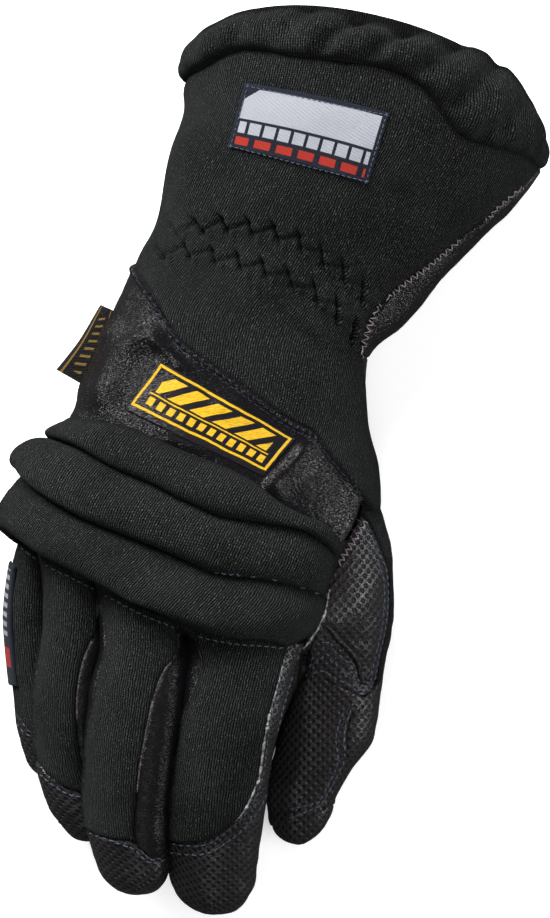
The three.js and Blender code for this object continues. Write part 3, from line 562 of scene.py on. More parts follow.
def mesh_object(name, points, faces, material, uv=None, smooth=None, edge=None):
    """An object from points in millimetres and lists of faces, with its UV map and its distance from an edge."""
    volume = sum(
        np.einsum("ij,ij->i", points[f[:, 0]], np.cross(points[f[:, k]], points[f[:, k + 1]])).sum()
        for f in faces for k in range(1, f.shape[1] - 1)
    )
    if volume < 0:
        faces = [f[:, ::-1] for f in faces]
    counts = np.concatenate([np.full(len(f), f.shape[1]) for f in faces])
    corners = np.concatenate([f.ravel() for f in faces])
    mesh = bpy.data.meshes.new(name)
    mesh.vertices.add(len(points))
    mesh.vertices.foreach_set("co", (points * MM).astype(np.float32).ravel())
    mesh.loops.add(len(corners))
    mesh.loops.foreach_set("vertex_index", corners.astype(np.int32))
    mesh.polygons.add(len(counts))
    mesh.polygons.foreach_set("loop_start", (np.cumsum(counts) - counts).astype(np.int32))
    shaded = np.ones(len(counts), bool) if smooth is None else np.repeat(smooth, [len(f) for f in faces])
    mesh.polygons.foreach_set("use_smooth", shaded)
    if uv is not None:
        mesh.uv_layers.new(name="cloth").uv.foreach_set("vector", uv[corners].astype(np.float32).ravel())
    if edge is not None:
        mesh.attributes.new("edge", "FLOAT", "POINT").data.foreach_set("value", edge.astype(np.float32).ravel())
    mesh.materials.append(material)
    mesh.update(calc_edges=True)
    mesh.validate()
    made = bpy.data.objects.new(name, mesh)
    bpy.context.scene.collection.objects.link(made)
    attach(made, "root")
    return made


SHADE_WIDTH = 2.9  # millimetres from a seam or a crease over which the knit's painted shade fades to the cloth's full colour
OUTSIDES = {}  # each piece's outside grid and normals, for what is sewn onto it
PIECES = {}  # the finished object that stands for each node
FLATS = {}  # each piece's cut size: its width and length over the form and its area, in millimetres


def grid_normals(points):
    """Unit normals of a grid of points, from the steps to its neighbours."""
    return unit(np.cross(np.gradient(points, axis=0), np.gradient(points, axis=1)))


def nearest_edge(piece):
    """Each point's distance from the nearest edge; a ring has none at its sides."""
    edge = np.minimum(piece.top, piece.bottom)
    return edge if piece.ring else np.minimum(edge, np.minimum(piece.left, piece.right))


def shell(name, piece, outside, wall, material, closed_tip=False, uv=None, crease=0.0):
    """A closed mesh of a piece: its outside points, and an inside that lies the wall's thickness within the
    piece's plain surface. A painted shade of 1 gives a knitted piece as much painted shade as at a seam's edge, and one
    of 0 none."""
    k = piece.coarse
    inside = (piece.points - piece.normals * wall)[::k, ::k]
    inside[..., 2] = np.maximum(inside[..., 2], 0.15)
    if piece.ring:  # its last column meets its first one
        outside = outside + (outside[:, :1] - outside[:, -1:]) * smoothstep(piece.u, 0.8, 1)[..., None]
    if closed_tip:  # its last row is one point
        outside[-1], inside[-1] = outside[-1].mean(0), inside[-1].mean(0)
    uv = cloth_place(piece) if uv is None else uv
    # the edge attribute also carries painted shade: where it is small, a knitted piece's finish paints shade as beside
    # a seam
    edge = np.minimum(nearest_edge(piece), SHADE_WIDTH * (1 - crease))
    outer_numbers = np.arange(outside[..., 0].size).reshape(outside.shape[:2])
    inner_numbers = outer_numbers.size + np.arange(inside[..., 0].size).reshape(inside.shape[:2])
    faces = [grid_faces(outer_numbers), grid_faces(inner_numbers, flip=True)]
    smooth = [True, True]
    for outer, inner in zip(border(outer_numbers, piece.ring), border(inner_numbers, piece.ring)):
        starts = np.arange(len(inner) - 1)[:, None] * k
        stretch = outer[starts + np.arange(k, -1, -1)]
        faces.append(np.concatenate([stretch, inner[:-1, None], inner[1:, None]], 1))
        smooth.append(False)
    if closed_tip:
        faces.pop()
        smooth.pop()
    points = np.concatenate([outside.reshape(-1, 3), inside.reshape(-1, 3)])
    uv = np.concatenate([uv.reshape(-1, 2), uv[::k, ::k].reshape(-1, 2)])
    edge = np.concatenate([edge.ravel(), edge[::k, ::k].ravel()])
    OUTSIDES[name] = (outside, grid_normals(outside))
    cells = np.cross(np.diff(piece.points, axis=0)[:, :-1], np.diff(piece.points, axis=1)[:-1])
    FLATS[name] = (piece.left[:, -1].max(), piece.top[-1].max(), np.linalg.norm(cells, axis=-1).sum())
    PIECES[name] = made = mesh_object(name + "_sewn", points, faces, material, uv, smooth, edge)
    if piece.ring:
        weld(made)
    return made


def weld(made, apart=1e-6):
    """Merges the points that lie on each other, where a ring closes and where a tip comes to its pole."""
    shape = bmesh.new()
    shape.from_mesh(made.data)
    bmesh.ops.remove_doubles(shape, verts=shape.verts, dist=apart)
    bmesh.ops.dissolve_degenerate(shape, edges=shape.edges, dist=apart)
    shape.to_mesh(made.data)
    shape.free()


# %% [markdown]
# ## Folds and unevenness
# Cloth never lies as smooth as its form. Three tools roughen it: noise, which is random heights on a lattice
# with smooth steps between them; folds, which are ridges along a line on the plan, steeper on one side; and
# `rounded`, which rolls a piece's edge down into its seam. All of them return millimetres of height.

# %% Noise, folds and rolled edges


LATTICE = 97  # values each way, after which the noise repeats
LATTICE_MIDDLE = (31.7, 17.3)  # where the noise's 0, 0 lies on it


def noise(x, y, size, seed):
    """Heights from -1 to 1: random values on a square lattice of that size, blended by smooth steps."""
    lattice = np.random.default_rng(seed).uniform(-1, 1, (LATTICE, LATTICE))
    x, y = x / size + LATTICE_MIDDLE[0], y / size + LATTICE_MIDDLE[1]
    i, j = np.floor(x).astype(int), np.floor(y).astype(int)
    fx, fy = smoothstep(x - i), smoothstep(y - j)
    corner = [lattice[(j + b) % LATTICE, (i + a) % LATTICE] for b in (0, 1) for a in (0, 1)]
    return (corner[0] * (1 - fx) + corner[1] * fx) * (1 - fy) + (corner[2] * (1 - fx) + corner[3] * fx) * fy


def bell(x, middle, width):
    """1 in the middle, falling off on both sides as a Gauss curve."""
    return np.exp(-(((x - middle) / width) ** 2))


def layered(x, y, size, seed, layers=3):
    """Noise with finer layers on it, each half the size and half the height of the one before."""
    return sum(noise(x, y, size / 2**k, seed + k) / 2**k for k in range(layers))


def creases(x, y, size, seed, turn=0.0, stretch=2.5, sharp=2.0):
    """Narrow valleys with round ground between them, from 0 to -1: where stretched, turned noise crosses 0."""
    a = np.radians(turn)
    x, y = (x * np.cos(a) + y * np.sin(a)) / stretch, y * np.cos(a) - x * np.sin(a)
    bend = noise(x, y, size * 2, seed + 7) * size * 0.6
    return -np.maximum(0, 1 - np.abs(noise(x, y + bend, size, seed)) * sharp * 2) ** 2


def folds(plan, rows):
    """Straight folds, added up: each is a bell across the line from its start to its end, narrower on one side
    by its steepness, and fading towards both ends."""
    total = 0
    for start, end, width, height, steep in rows:
        start, end = np.array(start, float), np.array(end, float)
        long = np.linalg.norm(end - start)
        way = (end - start) / long
        away = plan - start
        along = away @ way / long
        across = away[..., 0] * way[1] - away[..., 1] * way[0]
        fade = smoothstep(along, -0.15, 0.25) * (1 - smoothstep(along, 0.75, 1.15))
        total = total + height * bell(across, 0, width * (1 - steep * np.sign(across))) * fade
    return total


def ridges(plan, rows):
    """Folds whose crests are curves: a bell of the distance from the crest, wider on its right side where the
    lean is positive, and fading over a quarter of the crest's length at both ends."""
    total = 0
    for line, width, height, lean in rows:
        off, run = beside_line(plan, smooth_line(line, 1.5))
        share = run / run.max()
        fade = smoothstep(share, 0, 0.25) * smoothstep(1 - share, 0, 0.25)
        total = total + height * bell(off, 0, width * (1 + lean * np.sign(off))) * fade
    return total


def beside_line(plan, line):
    """Distance from a line of points on the plan, positive on its right, and the running length along it."""
    line = np.array(line, float)
    best, side, run = np.full(plan.shape[:2], 1e9), np.zeros(plan.shape[:2]), np.zeros(plan.shape[:2])
    done = 0.0
    for start, end in zip(line[:-1], line[1:]):
        long = np.linalg.norm(end - start)
        way = (end - start) / long
        t = np.clip((plan - start) @ way, 0, long)
        off = plan - start - t[..., None] * way
        far = np.linalg.norm(off, axis=-1)
        nearer = far < best
        best = np.where(nearer, far, best)
        side = np.where(nearer, np.sign(off[..., 0] * way[1] - off[..., 1] * way[0]), side)
        run = np.where(nearer, done + t, run)
        done += long
    return best * side, run


def rounded(distance, depth, radius):
    """How far an edge dips: a quarter of an ellipse, full depth at the edge and none beyond the radius."""
    t = np.clip(distance / radius, 0, 1)
    return -depth * (1 - np.sqrt(np.maximum(0, 1 - (1 - t) ** 2)))


def smooth_line(points, step=0.4):
    """A Catmull-Rom curve through points, resampled to even steps along it."""
    points = np.array(points, float)
    fine = curve(points, np.linspace(0, len(points) - 1, 60 * len(points)))
    run = lengths(fine, 0)
    at = np.linspace(0, run[-1], max(2, round(run[-1] / step) + 1))
    return np.stack([np.interp(at, run, fine[:, k]) for k in range(fine.shape[1])], -1)


# %% [markdown]
# ## Cloth, leather and thread
# Every finish is worked out from formulas. Patterns that belong to the cloth, such as ribs and dimples, read
# the piece's own UV map, which is in millimetres of cloth; grain and unevenness read the Object coordinates, so
# they have no seam. What several finishes share is a node group with named sockets. A node tree is long to
# write node by node, so a small class, `Number`, lets a formula be written as the sum that it is.

# %% Small helpers for node trees


class Number:
    """A number that a node tree works out at every point. A sum written with it adds Math nodes to its tree."""

    def __init__(self, socket):
        self.socket = socket

    def maths(self, operation, *others, clamp=False):
        """The outcome of a Math node on this number and others."""
        made = self.socket.id_data.nodes.new("ShaderNodeMath")
        made.operation, made.use_clamp = operation, clamp
        for socket, given in zip(made.inputs, (self, *others)):
            put(socket, given)
        return Number(made.outputs[0])

    def __add__(self, other):
        return self.maths("ADD", other)

    def __sub__(self, other):
        return self.maths("SUBTRACT", other)

    def __rsub__(self, other):
        return self * -1 + other

    def __mul__(self, other):
        return self.maths("MULTIPLY", other)

    def __truediv__(self, other):
        return self.maths("DIVIDE", other)


def put(socket, given):
    """Links an output to a socket, or sets the socket's own value. A colour is given as its three shares."""
    given = given.socket if isinstance(given, Number) else given
    if isinstance(given, bpy.types.NodeSocket):
        socket.id_data.links.new(given, socket)
    else:
        socket.default_value = (*given, 1) if socket.type == "RGBA" else given


def node(tree, kind, settings=None, **inputs):
    """A node with its settings; an input is given a number or colour, or linked to another node's output."""
    made = tree.nodes.new(kind)
    for name, setting in (settings or {}).items():
        setattr(made, name, setting)
    for name, given in inputs.items():
        put(made.inputs[name.replace("_", " ")], given)
    return made


def cloudy(place, scale, **more):
    """Noise in space, between 0 and 1."""
    return Number(node(place.id_data, "ShaderNodeTexNoise", Vector=place, Scale=scale, **more).outputs[0])


def wave(number):
    """A cosine between 0 and 1 that repeats at every whole number."""
    return (number * (2 * np.pi)).maths("COSINE") * 0.5 + 0.5


def ramp(amount, low, high):
    """0 at low and 1 at high, smoothly."""
    made = node(amount.socket.id_data, "ShaderNodeMapRange", {"interpolation_type": "SMOOTHSTEP"},
                Value=amount, From_Min=low, From_Max=high)
    return Number(made.outputs[0])


def blend(amount, first, second):
    """The colour between two others."""
    made = amount.socket.id_data.nodes.new("ShaderNodeMix")
    made.data_type = "RGBA"
    for k, given in ((0, amount), (6, first), (7, second)):  # a Mix node's factor and its two colours
        put(made.inputs[k], given)
    return made.outputs[2]


def group(name, inputs, outputs, fill):
    """A node group with float sockets and one vector socket named Place; fill builds its inside."""
    tree = bpy.data.node_groups.new(name, "ShaderNodeTree")
    for way, sockets in (("INPUT", inputs), ("OUTPUT", outputs)):
        for socket in sockets:
            kind = "NodeSocketVector" if socket == "Place" else "NodeSocketFloat"
            tree.interface.new_socket(socket, in_out=way, socket_type=kind)
    inner, outer = tree.nodes.new("NodeGroupInput").outputs, tree.nodes.new("NodeGroupOutput").inputs
    given = {key.lower(): inner[key] if key == "Place" else Number(inner[key]) for key in inputs}
    for socket, made in fill(**given).items():
        put(outer[socket], made)
    return tree


def use(tree, shared, **inputs):
    """A node group placed in a material with its inputs: its outputs by name."""
    made = node(tree, "ShaderNodeGroup", {"node_tree": shared}, **inputs)
    return {socket.name: Number(socket) for socket in made.outputs}


# %% [markdown]
# The knit shows as fine ribs along the glove, about a millimetre apart, and each rib is a row of small slanted
# loops. The leather of the palm and fingertips has staggered round dimples, pressed in by a roller.

# %% Node groups for knit, grain, dimples, wear and weave
RIB, LOOP = 0.86, 0.8  # millimetres from one rib of the knit to the next, and from one loop to the next
DIMPLE_PITCH, DIMPLE_ROW = 3.3, 1.65  # millimetres across from dimple to dimple, and from row to row
WARP, WEFT = 0.42, 0.5  # millimetres between the threads of a woven label


def knit_inside(across, down, place):
    """A rib is a cosine across the cloth, and its loops are a second cosine along it that leans one way on the
    left half of the rib and the other way on the right. Specks are pale fibres on the high places."""
    offset = ((cloudy(place, 520.0, Detail=1.0) * 0.9 + across) / RIB).maths("FRACT") - 0.5
    loop = wave(down / LOOP + offset.maths("ABSOLUTE") * 1.5)
    height = wave(offset) * (loop * 0.55 + 0.45)
    fibre = cloudy(place, 1700.0, Detail=2.0, Roughness=0.7)
    return {"Height": height, "Speck": ramp(fibre, 0.5, 0.7) * ramp(height, 0.1, 0.75)}


def grain_inside(place, scale):
    """Long pebbles, each highest in the middle of its Voronoi cell, on space that is warped by noise, then
    turned and drawn out; over them broad noise. A crack is where two cells meet."""
    tree = place.id_data
    warp = node(tree, "ShaderNodeTexNoise", Vector=place, Scale=420.0).outputs["Color"]
    shift = node(tree, "ShaderNodeVectorMath", {"operation": "SCALE"}, Vector=warp, Scale=0.0012)
    warped = node(tree, "ShaderNodeVectorMath", {"operation": "ADD"})
    put(warped.inputs[0], place)
    put(warped.inputs[1], shift.outputs[0])
    drawn = node(tree, "ShaderNodeMapping", Vector=warped.outputs[0], Rotation=(0, 0, 0.7), Scale=(0.4, 1.9, 1.1))
    cells = node(tree, "ShaderNodeTexVoronoi", {"feature": "F1"}, Vector=drawn.outputs[0], Scale=scale)
    far = Number(cells.outputs["Distance"])
    pebble = 1 - ramp(far, 0.0, 0.8)
    return {"Height": cloudy(place, 260.0, Detail=3.0) * 0.3 + pebble * 0.65, "Crack": ramp(far, 0.45, 0.8)}


def dimple_inside(across, down):
    """A round pit in the middle of each cell of a grid, whose every other row is moved by half a cell."""
    row = down / DIMPLE_ROW
    odd = row.maths("FLOOR").maths("FLOORED_MODULO", 2.0)
    x = ((across / DIMPLE_PITCH + odd * 0.5).maths("FRACT") - 0.5) * DIMPLE_PITCH
    y = (row.maths("FRACT") - 0.5) * DIMPLE_ROW
    pit = 1 - ramp((x * x + y * y).maths("SQRT"), 0.4, 0.95)
    return {"Pit": pit, "Height": 1 - pit}


def wear_inside(place, distance):
    """Blotches that fade out about a millimetre from an edge."""
    return {"Mask": (1 - ramp(distance, 0.0, 1.2)) * ramp(cloudy(place, 900.0, Detail=3.0), 0.4, 0.65)}


def weave_inside(across, down):
    """A cosine across the ribbon times a slanted one along it."""
    return {"Height": wave(across / WARP) * wave((down + across * 0.5) / WEFT)}


KNIT = group("knit_ribs", ["Across", "Down", "Place"], ["Height", "Speck"], knit_inside)
GRAIN = group("hide_grain", ["Place", "Scale"], ["Height", "Crack"], grain_inside)
DIMPLES = group("pressed_dimples", ["Across", "Down"], ["Pit", "Height"], dimple_inside)
WEAR = group("edge_wear", ["Place", "Distance"], ["Mask"], wear_inside)
WEAVE = group("label_weave", ["Across", "Down"], ["Height"], weave_inside)

# %% [markdown]
# Each material then feeds one Principled shader. Numbers that are the same all over it, such as the sheen of
# the cloth, are set on the shader itself, because an exported model keeps only those. Colours are linear shares
# of red, green and blue, and the depth of a bump is in metres.

# %% Materials


def new_material(name, **constants):
    """A material with its Principled shader, and where its patterns come from: place, across, down and edge."""
    material = bpy.data.materials.new(name)
    material.use_nodes = True
    tree = material.node_tree
    shader = tree.nodes["Principled BSDF"]
    for socket, constant in constants.items():
        put(shader.inputs[socket.replace("_", " ")], constant)
    uv = node(tree, "ShaderNodeSeparateXYZ", Vector=node(tree, "ShaderNodeUVMap", {"uv_map": "cloth"}).outputs[0])
    return SimpleNamespace(
        material=material, tree=tree, shader=shader, place=tree.nodes.new("ShaderNodeTexCoord").outputs["Object"],
        across=Number(uv.outputs["X"]), down=Number(uv.outputs["Y"]),
        edge=Number(node(tree, "ShaderNodeAttribute", {"attribute_name": "edge"}).outputs["Fac"]),
    )


def finished(made, colour, roughness, *bumps):
    """Feeds a colour, a roughness and bumps, each a height and its depth, into the shader."""
    put(made.shader.inputs["Base Color"], colour)
    put(made.shader.inputs["Roughness"], roughness)
    socket = made.shader.inputs["Normal"]
    for height, depth in reversed(bumps):  # the last one lies on those before it
        bumped = node(made.tree, "ShaderNodeBump", Height=height, Distance=depth, Strength=1.0)
        put(socket, bumped.outputs[0])
        socket = bumped.inputs["Normal"]
    return made.material


def scaled(colour, by):
    """A colour made darker or lighter."""
    return tuple(share * by for share in colour)


def knit_material(name, rib_colour, shaded_valley_colour, speck_colour=(0.12, 0.126, 0.128), painted_seam_shade=(0.0012,) * 3):
    """Knitted cloth: worn ribs over valleys darkened by painted shade, pale specks, and painted shade in its seams and
    creases.
    """
    made = new_material(name, Specular_IOR_Level=0.1, Sheen_Weight=0.03, Sheen_Roughness=0.45,
                        Sheen_Tint=(0.85, 0.9, 0.9))
    knit = use(made.tree, KNIT, Across=made.across, Down=made.down, Place=made.place)
    worn = blend(cloudy(made.place, 45.0, Detail=3.0), shaded_valley_colour, rib_colour)
    colour = blend(knit["Height"], shaded_valley_colour, worn)
    # painted shade: the valleys between the ribs are darkened towards the shaded valley colour
    colour = blend(knit["Speck"] * 0.6, colour, speck_colour)
    # painted shade near the cloth's seams and in its creases, where the edge attribute is small
    colour = blend((1 - ramp(made.edge, 0.3, SHADE_WIDTH)) * 0.8, colour, painted_seam_shade)
    fuzz = cloudy(made.place, 2600.0, Detail=2.0)
    return finished(made, colour, knit["Height"] * -0.12 + 0.95, (knit["Height"], 0.0006), (fuzz, 0.0002))


def leather_material(name, relief=0.00024, dimpled=False, rough=0.17, colour=(0.004, 0.0035, 0.0042), grain=0.6):
    """Grained leather, patchy in tone, darker and rougher in its cracks, rougher in its dimples and darkened in them by
    painted shade, and rubbed at its edges.
    The grain is the width of its pebbles in millimetres."""
    made = new_material(name, Specular_IOR_Level=0.5)
    hide = use(made.tree, GRAIN, Place=made.place, Scale=1 / (grain * MM))
    wear = use(made.tree, WEAR, Place=made.place, Distance=made.edge)
    patchy = cloudy(made.place, 60.0, Detail=3.0)
    tone = blend(patchy, scaled(colour, 0.75), scaled(colour, 1.35))
    tone = blend(hide["Crack"] * 0.5, tone, (0.002, 0.0018, 0.002))
    roughness = hide["Crack"] * 0.15 + patchy * 0.1 + rough
    bumps = [(hide["Height"], relief)]
    if dimpled:
        pits = use(made.tree, DIMPLES, Across=made.across, Down=made.down)
        # painted shade in the dimples: their pits are darkened
        tone = blend(pits["Pit"] * 0.7, tone, (0.001, 0.0009, 0.001))
        roughness = roughness + pits["Pit"] * 0.4
        bumps.insert(0, (pits["Height"], 0.0006))
    tone = blend(wear["Mask"] * 0.35, tone, (0.05, 0.046, 0.048))
    return finished(made, tone, roughness, *bumps)


def plain_material(name, colour, rough, second=None, grain=1500.0, depth=0.0002):
    """One colour with a mottle of a second one, and a fine noise bump: thread, fuzz, piping."""
    made = new_material(name)
    mottle = cloudy(made.place, grain, Detail=2.0)
    tone = blend(ramp(mottle, 0.35, 0.65), second or scaled(colour, 0.55), colour)
    return finished(made, tone, mottle * 0.2 + (rough - 0.1), (mottle, depth))


# the second colour is the painted shade in the valleys between the ribs
KNIT_CLOTH = knit_material("knit_cloth", (0.04, 0.043, 0.0435), (0.0003, 0.0003, 0.0003))
SMOOTH_LEATHER = leather_material("smooth_leather")
DIMPLED_LEATHER = leather_material("dimpled_leather", 0.00012, True, 0.16, (0.015, 0.0132, 0.0145))
SIDE_LEATHER = leather_material("side_leather", relief=0.00018, rough=0.2)
THREAD = plain_material("navy_thread", (0.07, 0.087, 0.125), 0.6)
DARK_THREAD = plain_material("dark_thread", (0.014, 0.018, 0.03), 0.5)
LIGHT_THREAD = plain_material("light_thread", (0.24, 0.2, 0.21), 0.75)
RAW_EDGE = plain_material("raw_edge", (0.34, 0.35, 0.35), 0.95, (0.05, 0.053, 0.053), 900.0)
WELT_LEATHER = plain_material("welt_leather", (0.1, 0.09, 0.09), 0.5, (0.008, 0.007, 0.007), 1600.0)

# %% [markdown]
# The floor is white only where the camera looks straight at it. To the leather, which would mirror it as a grey
# veil, it is dark; the Light Path node tells the two apart.

# %% The floor's finish
FLOOR_SEEN = (0.86, 0.86, 0.86)
FLOOR_MIRRORED = (0.05, 0.05, 0.05)  # a white floor would veil the black leather
FLOOR_GLOW = 0.4  # what the camera sees of it is this much lighter; the glove isn't lit by it
finish = new_material("floor_white", Emission_Color=(1, 1, 1))
direct = Number(node(finish.tree, "ShaderNodeLightPath").outputs["Is Camera Ray"])
put(finish.shader.inputs["Emission Strength"], direct * FLOOR_GLOW)
mottle = cloudy(finish.place, 5.0, Detail=2.0)
floor.data.materials.append(finished(finish, blend(direct, FLOOR_MIRRORED, FLOOR_SEEN), mottle * 0.2 + 0.8))
print(len(bpy.data.materials), "materials,", len(bpy.data.node_groups), "shared groups")

# %% [markdown]
# ## The sleeve's seams
# The seams that show from above are laid down as points on the plan. Round the sides and underneath, where no
# photograph shows them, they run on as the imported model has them.

# %% Seams of the sleeve
LEFT_SEAM = -15  # degrees of the seam between the back and the palm at the left
HEM_LINE = [(-27, 139), (-10.5, 146), (9, 143.5), (24.5, 142), (40, 139.5), (54, 131.5), (61, 122.5), (68, 114.5),
            (79, 111.5), (89, 108)]
PANEL_LINE = [(-47, 64), (-41, 55), (-32, 41.5), (-22, 34), (-11.5, 26.5), (-2, 19.5), (5, 14.5), (14, 9.5),
              (19.5, 2.5), (25, -4), (29.5, -10.5)]
ROLL_LINES = [
    [(-69.5, 15), (-53.5, 12.5), (-32, 3.5), (-7, -7.5), (1.5, -14.5), (9.5, -19), (17, -22), (23, -28)],
    [(-80.5, 7.5), (-69.5, 5), (-52.5, -4), (-41.5, -8.5), (-29, -15), (-18, -19.5), (-2.5, -21.5), (7.5, -23),
     (16, -28), (21, -33)],
    [(-88, -4), (-80.5, -10.5), (-69, -18.5), (-52.5, -25.5), (-41.5, -30), (-29.5, -35.5), (-20.5, -39.5),
     (-6.5, -41), (4.5, -43), (13, -46), (17, -47.5)],
]
KNUCKLE_LINE = [(-91, -26), (-80.5, -34), (-70.5, -39), (-57, -46), (-45.5, -52), (-34.5, -56.5), (-26, -59.5),
                (-14.5, -62), (-2.5, -63), (7.5, -64)]
BACK_RIGHT_LINE = [(31.5, -16), (28, -25), (23, -33.5), (20, -41), (18, -48), (17, -56), (12.5, -63.5)]
GAUNTLET_SIDE_LINE = [(91, 99.5), (72, 83), (54, 68), (42, 59), (34.5, 50.5), (30.5, 38.5)]


def across_seam(line, ends):
    """A seam that runs across a tube: its section as a smooth function of degrees."""
    degrees, section = placed(sleeve, line)
    extra = np.array(ends, float).reshape(-1, 2)
    return through(np.append(degrees, extra[:, 0]), np.append(section, extra[:, 1]))


def along_seam(line, ends):
    """A seam that runs along a tube: its degrees as a smooth function of the section."""
    degrees, section = placed(sleeve, line)
    extra = np.array(ends, float).reshape(-1, 2)
    return through(np.append(section, extra[:, 1]), np.append(degrees, extra[:, 0]))


hem_seam = across_seam(HEM_LINE, [(0, 1.0), (190, 1.1), (250, 1.0), (360, 1.0)])
panel_seam = across_seam(PANEL_LINE, [(LEFT_SEAM, 5.0), (168, 8.8)])
roll_seams = [
    across_seam(line, [(LEFT_SEAM, start)])
    for line, start in zip([*ROLL_LINES, KNUCKLE_LINE], (7.9, 8.5, 9.5, 12.95))
]
back_right = along_seam(BACK_RIGHT_LINE, [(152, 13.4)])
gauntlet_side = along_seam(GAUNTLET_SIDE_LINE, [(181, 0.9), (190, 6.9), (197, 8.2)])
for title, seam in [("hem", hem_seam), ("panel", panel_seam), ("knuckles", roll_seams[3])]:
    print(title, "seam's section at the middle of the back", np.round(seam(np.array([90.0])), 2))

# %% [markdown]
# ## From a cut piece to a sewn one
# Every piece is made in the same moves: the points of its cut are lifted by a height, which is a sum of folds,
# noise and rolled edges, and the sheet between them and the form becomes a closed wall, which takes the place
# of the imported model's plain one.

# %% What every piece needs
CLOTH, LEATHER = 2.0, 1.6  # millimetres of wall


def uneven(piece, size, seed, layers=3):
    """Layered noise over the piece's own cloth."""
    place = cloth_place(piece)
    return layered(place[..., 0], place[..., 1], size, seed, layers)


def streaks(piece, size, seed):
    """Noise that changes only across the piece."""
    place = cloth_place(piece)
    return noise(place[..., 0], place[..., 1] * 0, size, seed)


def rolled(piece, **edges):
    """The dips of several edges, each named with its depth and radius in millimetres."""
    return sum(rounded(getattr(piece, side), *dip) for side, dip in edges.items())


def raised(piece, rise):
    """A piece's points lifted along their normals."""
    return piece.points + piece.normals * np.asarray(rise)[..., None]


def stand_in(name, piece, outside, wall, material, slot, **more):
    """A piece's shell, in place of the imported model's node of its name."""
    made = shell(name, piece, outside, wall, material, **more)
    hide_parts(name)
    print(name, len(made.data.polygons), "faces")
    return made


# %% [markdown]
# ## The rolled hem
# The hem is a band of the same knit, turned over an elastic, so it swells above its seam and is gathered into
# slanted lobes. Its height is a power of a sine across the band, with lobes round the mouth that are cosines
# whose phase wanders.

# %% Cuff hem
HEM = SimpleNamespace(puff=1.6, rise=4.5, lobe=2.6, rim_lobe=1.2, overhang=2.2)  # millimetres
LOBE_LENGTH, GATHER_LENGTH = 18, 9.5  # millimetres along the hem from lobe to lobe, and between small gathers
MOUTH_SWAYS = [(3.4, 38, 20), (-2.2, 82, 11)]  # how far the mouth draws in, and the middle and width of the place


def gathers(run, off, length, slant, seed):
    """A wave of gathers along a seam: a cosine of the running length, slanted and unevenly spaced."""
    wander = 1.5 * noise(run, off * 0.15, 26, seed)
    return np.cos(2 * np.pi * (run + slant * off) / length + wander)


def hem_lobes(piece):
    """The lobes of the hem, broad with narrow slanted valleys, and fullest right of the middle: from -1 to 1."""
    x = piece.plan[..., 0]
    lobe = gathers(cloth_place(piece)[..., 0], piece.top, LOBE_LENGTH, 0.9, 3)
    return (1 - 2 * (0.5 - 0.5 * lobe) ** 2) * (0.2 + 0.8 * smoothstep(x, 0, 25) * (1 - smoothstep(x, 74, 88)))


def hem_rise(piece, lobe):
    """The swell of the band, most where it faces up, its slanted lobes, small gathers at the seam, and
    unevenness."""
    swell = np.sin(np.pi * np.clip(piece.v, 0, 1) ** 1.7) ** 0.5
    inner = gathers(cloth_place(piece)[..., 0], piece.top, GATHER_LENGTH, -0.4, 9) * smoothstep(piece.v, 0.3, 0.8)
    upward = HEM.rise * smoothstep(piece.normals[..., 2], 0.1, 0.9) * smoothstep(piece.v, 0.05, 0.5)
    across = layered(cloth_place(piece)[..., 0], piece.top, 12, 21)
    return (HEM.puff + upward + HEM.lobe * lobe * (1 - 0.3 * piece.v) + 0.6 * inner + 0.6 * across) * swell - 1.6


piece = cut("sleeve", 0, 360, 0, lambda d: hem_seam(d) + 0.02, spacing=0.6, ring=True)
lobe = hem_lobes(piece)
facing_up = smoothstep(piece.normals[..., 2], 0.0, 0.5)
overhang = HEM.overhang * smoothstep(piece.v, 0.25, 0.9) * facing_up  # it bulges over its seam, and shades it
mouth = sum(depth * bell(piece.plan[..., 0], *place) for depth, *place in MOUTH_SWAYS) - HEM.rim_lobe * (lobe - 0.4)
overhang = overhang + mouth * (1 - smoothstep(piece.v, 0.1, 0.7))  # its mouth is as uneven
outside = raised(piece, hem_rise(piece, lobe)) + unit(np.gradient(piece.points, axis=0)) * overhang[..., None]
outside[..., 2] = np.maximum(outside[..., 2], 0)
stand_in("cuff_hem", piece, outside, CLOTH + 1, KNIT_CLOTH, "knit")

# %% [markdown]
# ## The knitted cuff
# One panel of knit covers the gauntlet from the hem to the slanted seam with the leather. Two rows of elastic
# are stitched into it at the wrist: the seam itself lies in a groove, and the cloth stands up in short slanted
# puckers on both sides of it.

# %% Gauntlet back
ELASTIC_ROWS = [  # first pucker and pitch along the row, and the row's line on the plan
    (22.6, 9.2, [(-40, 80), (-25, 81.5), (-17.5, 82), (-8.5, 80.7), (0, 79), (8.7, 76), (16.9, 70.2), (23, 66),
                 (29.4, 60), (34, 54)]),
    (15.5, 9.6, [(-47, 72), (-31.6, 73), (-22, 71.3), (-13, 69.2), (-4, 66.7), (5.9, 62.7), (13.7, 58.6), (21, 53),
                 (26, 47), (30, 41)]),
]
PUCKER = SimpleNamespace(depth=3.0, rise=2.2, valley=0.8, lobe=1.7, lobe_at=2.4, reach=3.6, groove=1.1)  # mm
CUFF_FOLDS = [  # start, end, width, height, steepness of one side
    ((-7, 63.5), (17, 41.5), 3.2, 1.7, 0.35),
    ((5, 66), (27, 46), 2.6, 1.0, 0.3),
    ((-22, 64), (2, 47), 3.5, 0.7, -0.3),
    ((38, 62), (60, 82), 4.0, 1.0, 0.3),
    ((-36, 120), (-30, 88), 6.0, 1.0, 0.2),
    ((52, 128), (45, 96), 7.0, 1.2, -0.2),
    ((-34, 60), (-18, 40), 3.0, 0.8, 0.3),
]


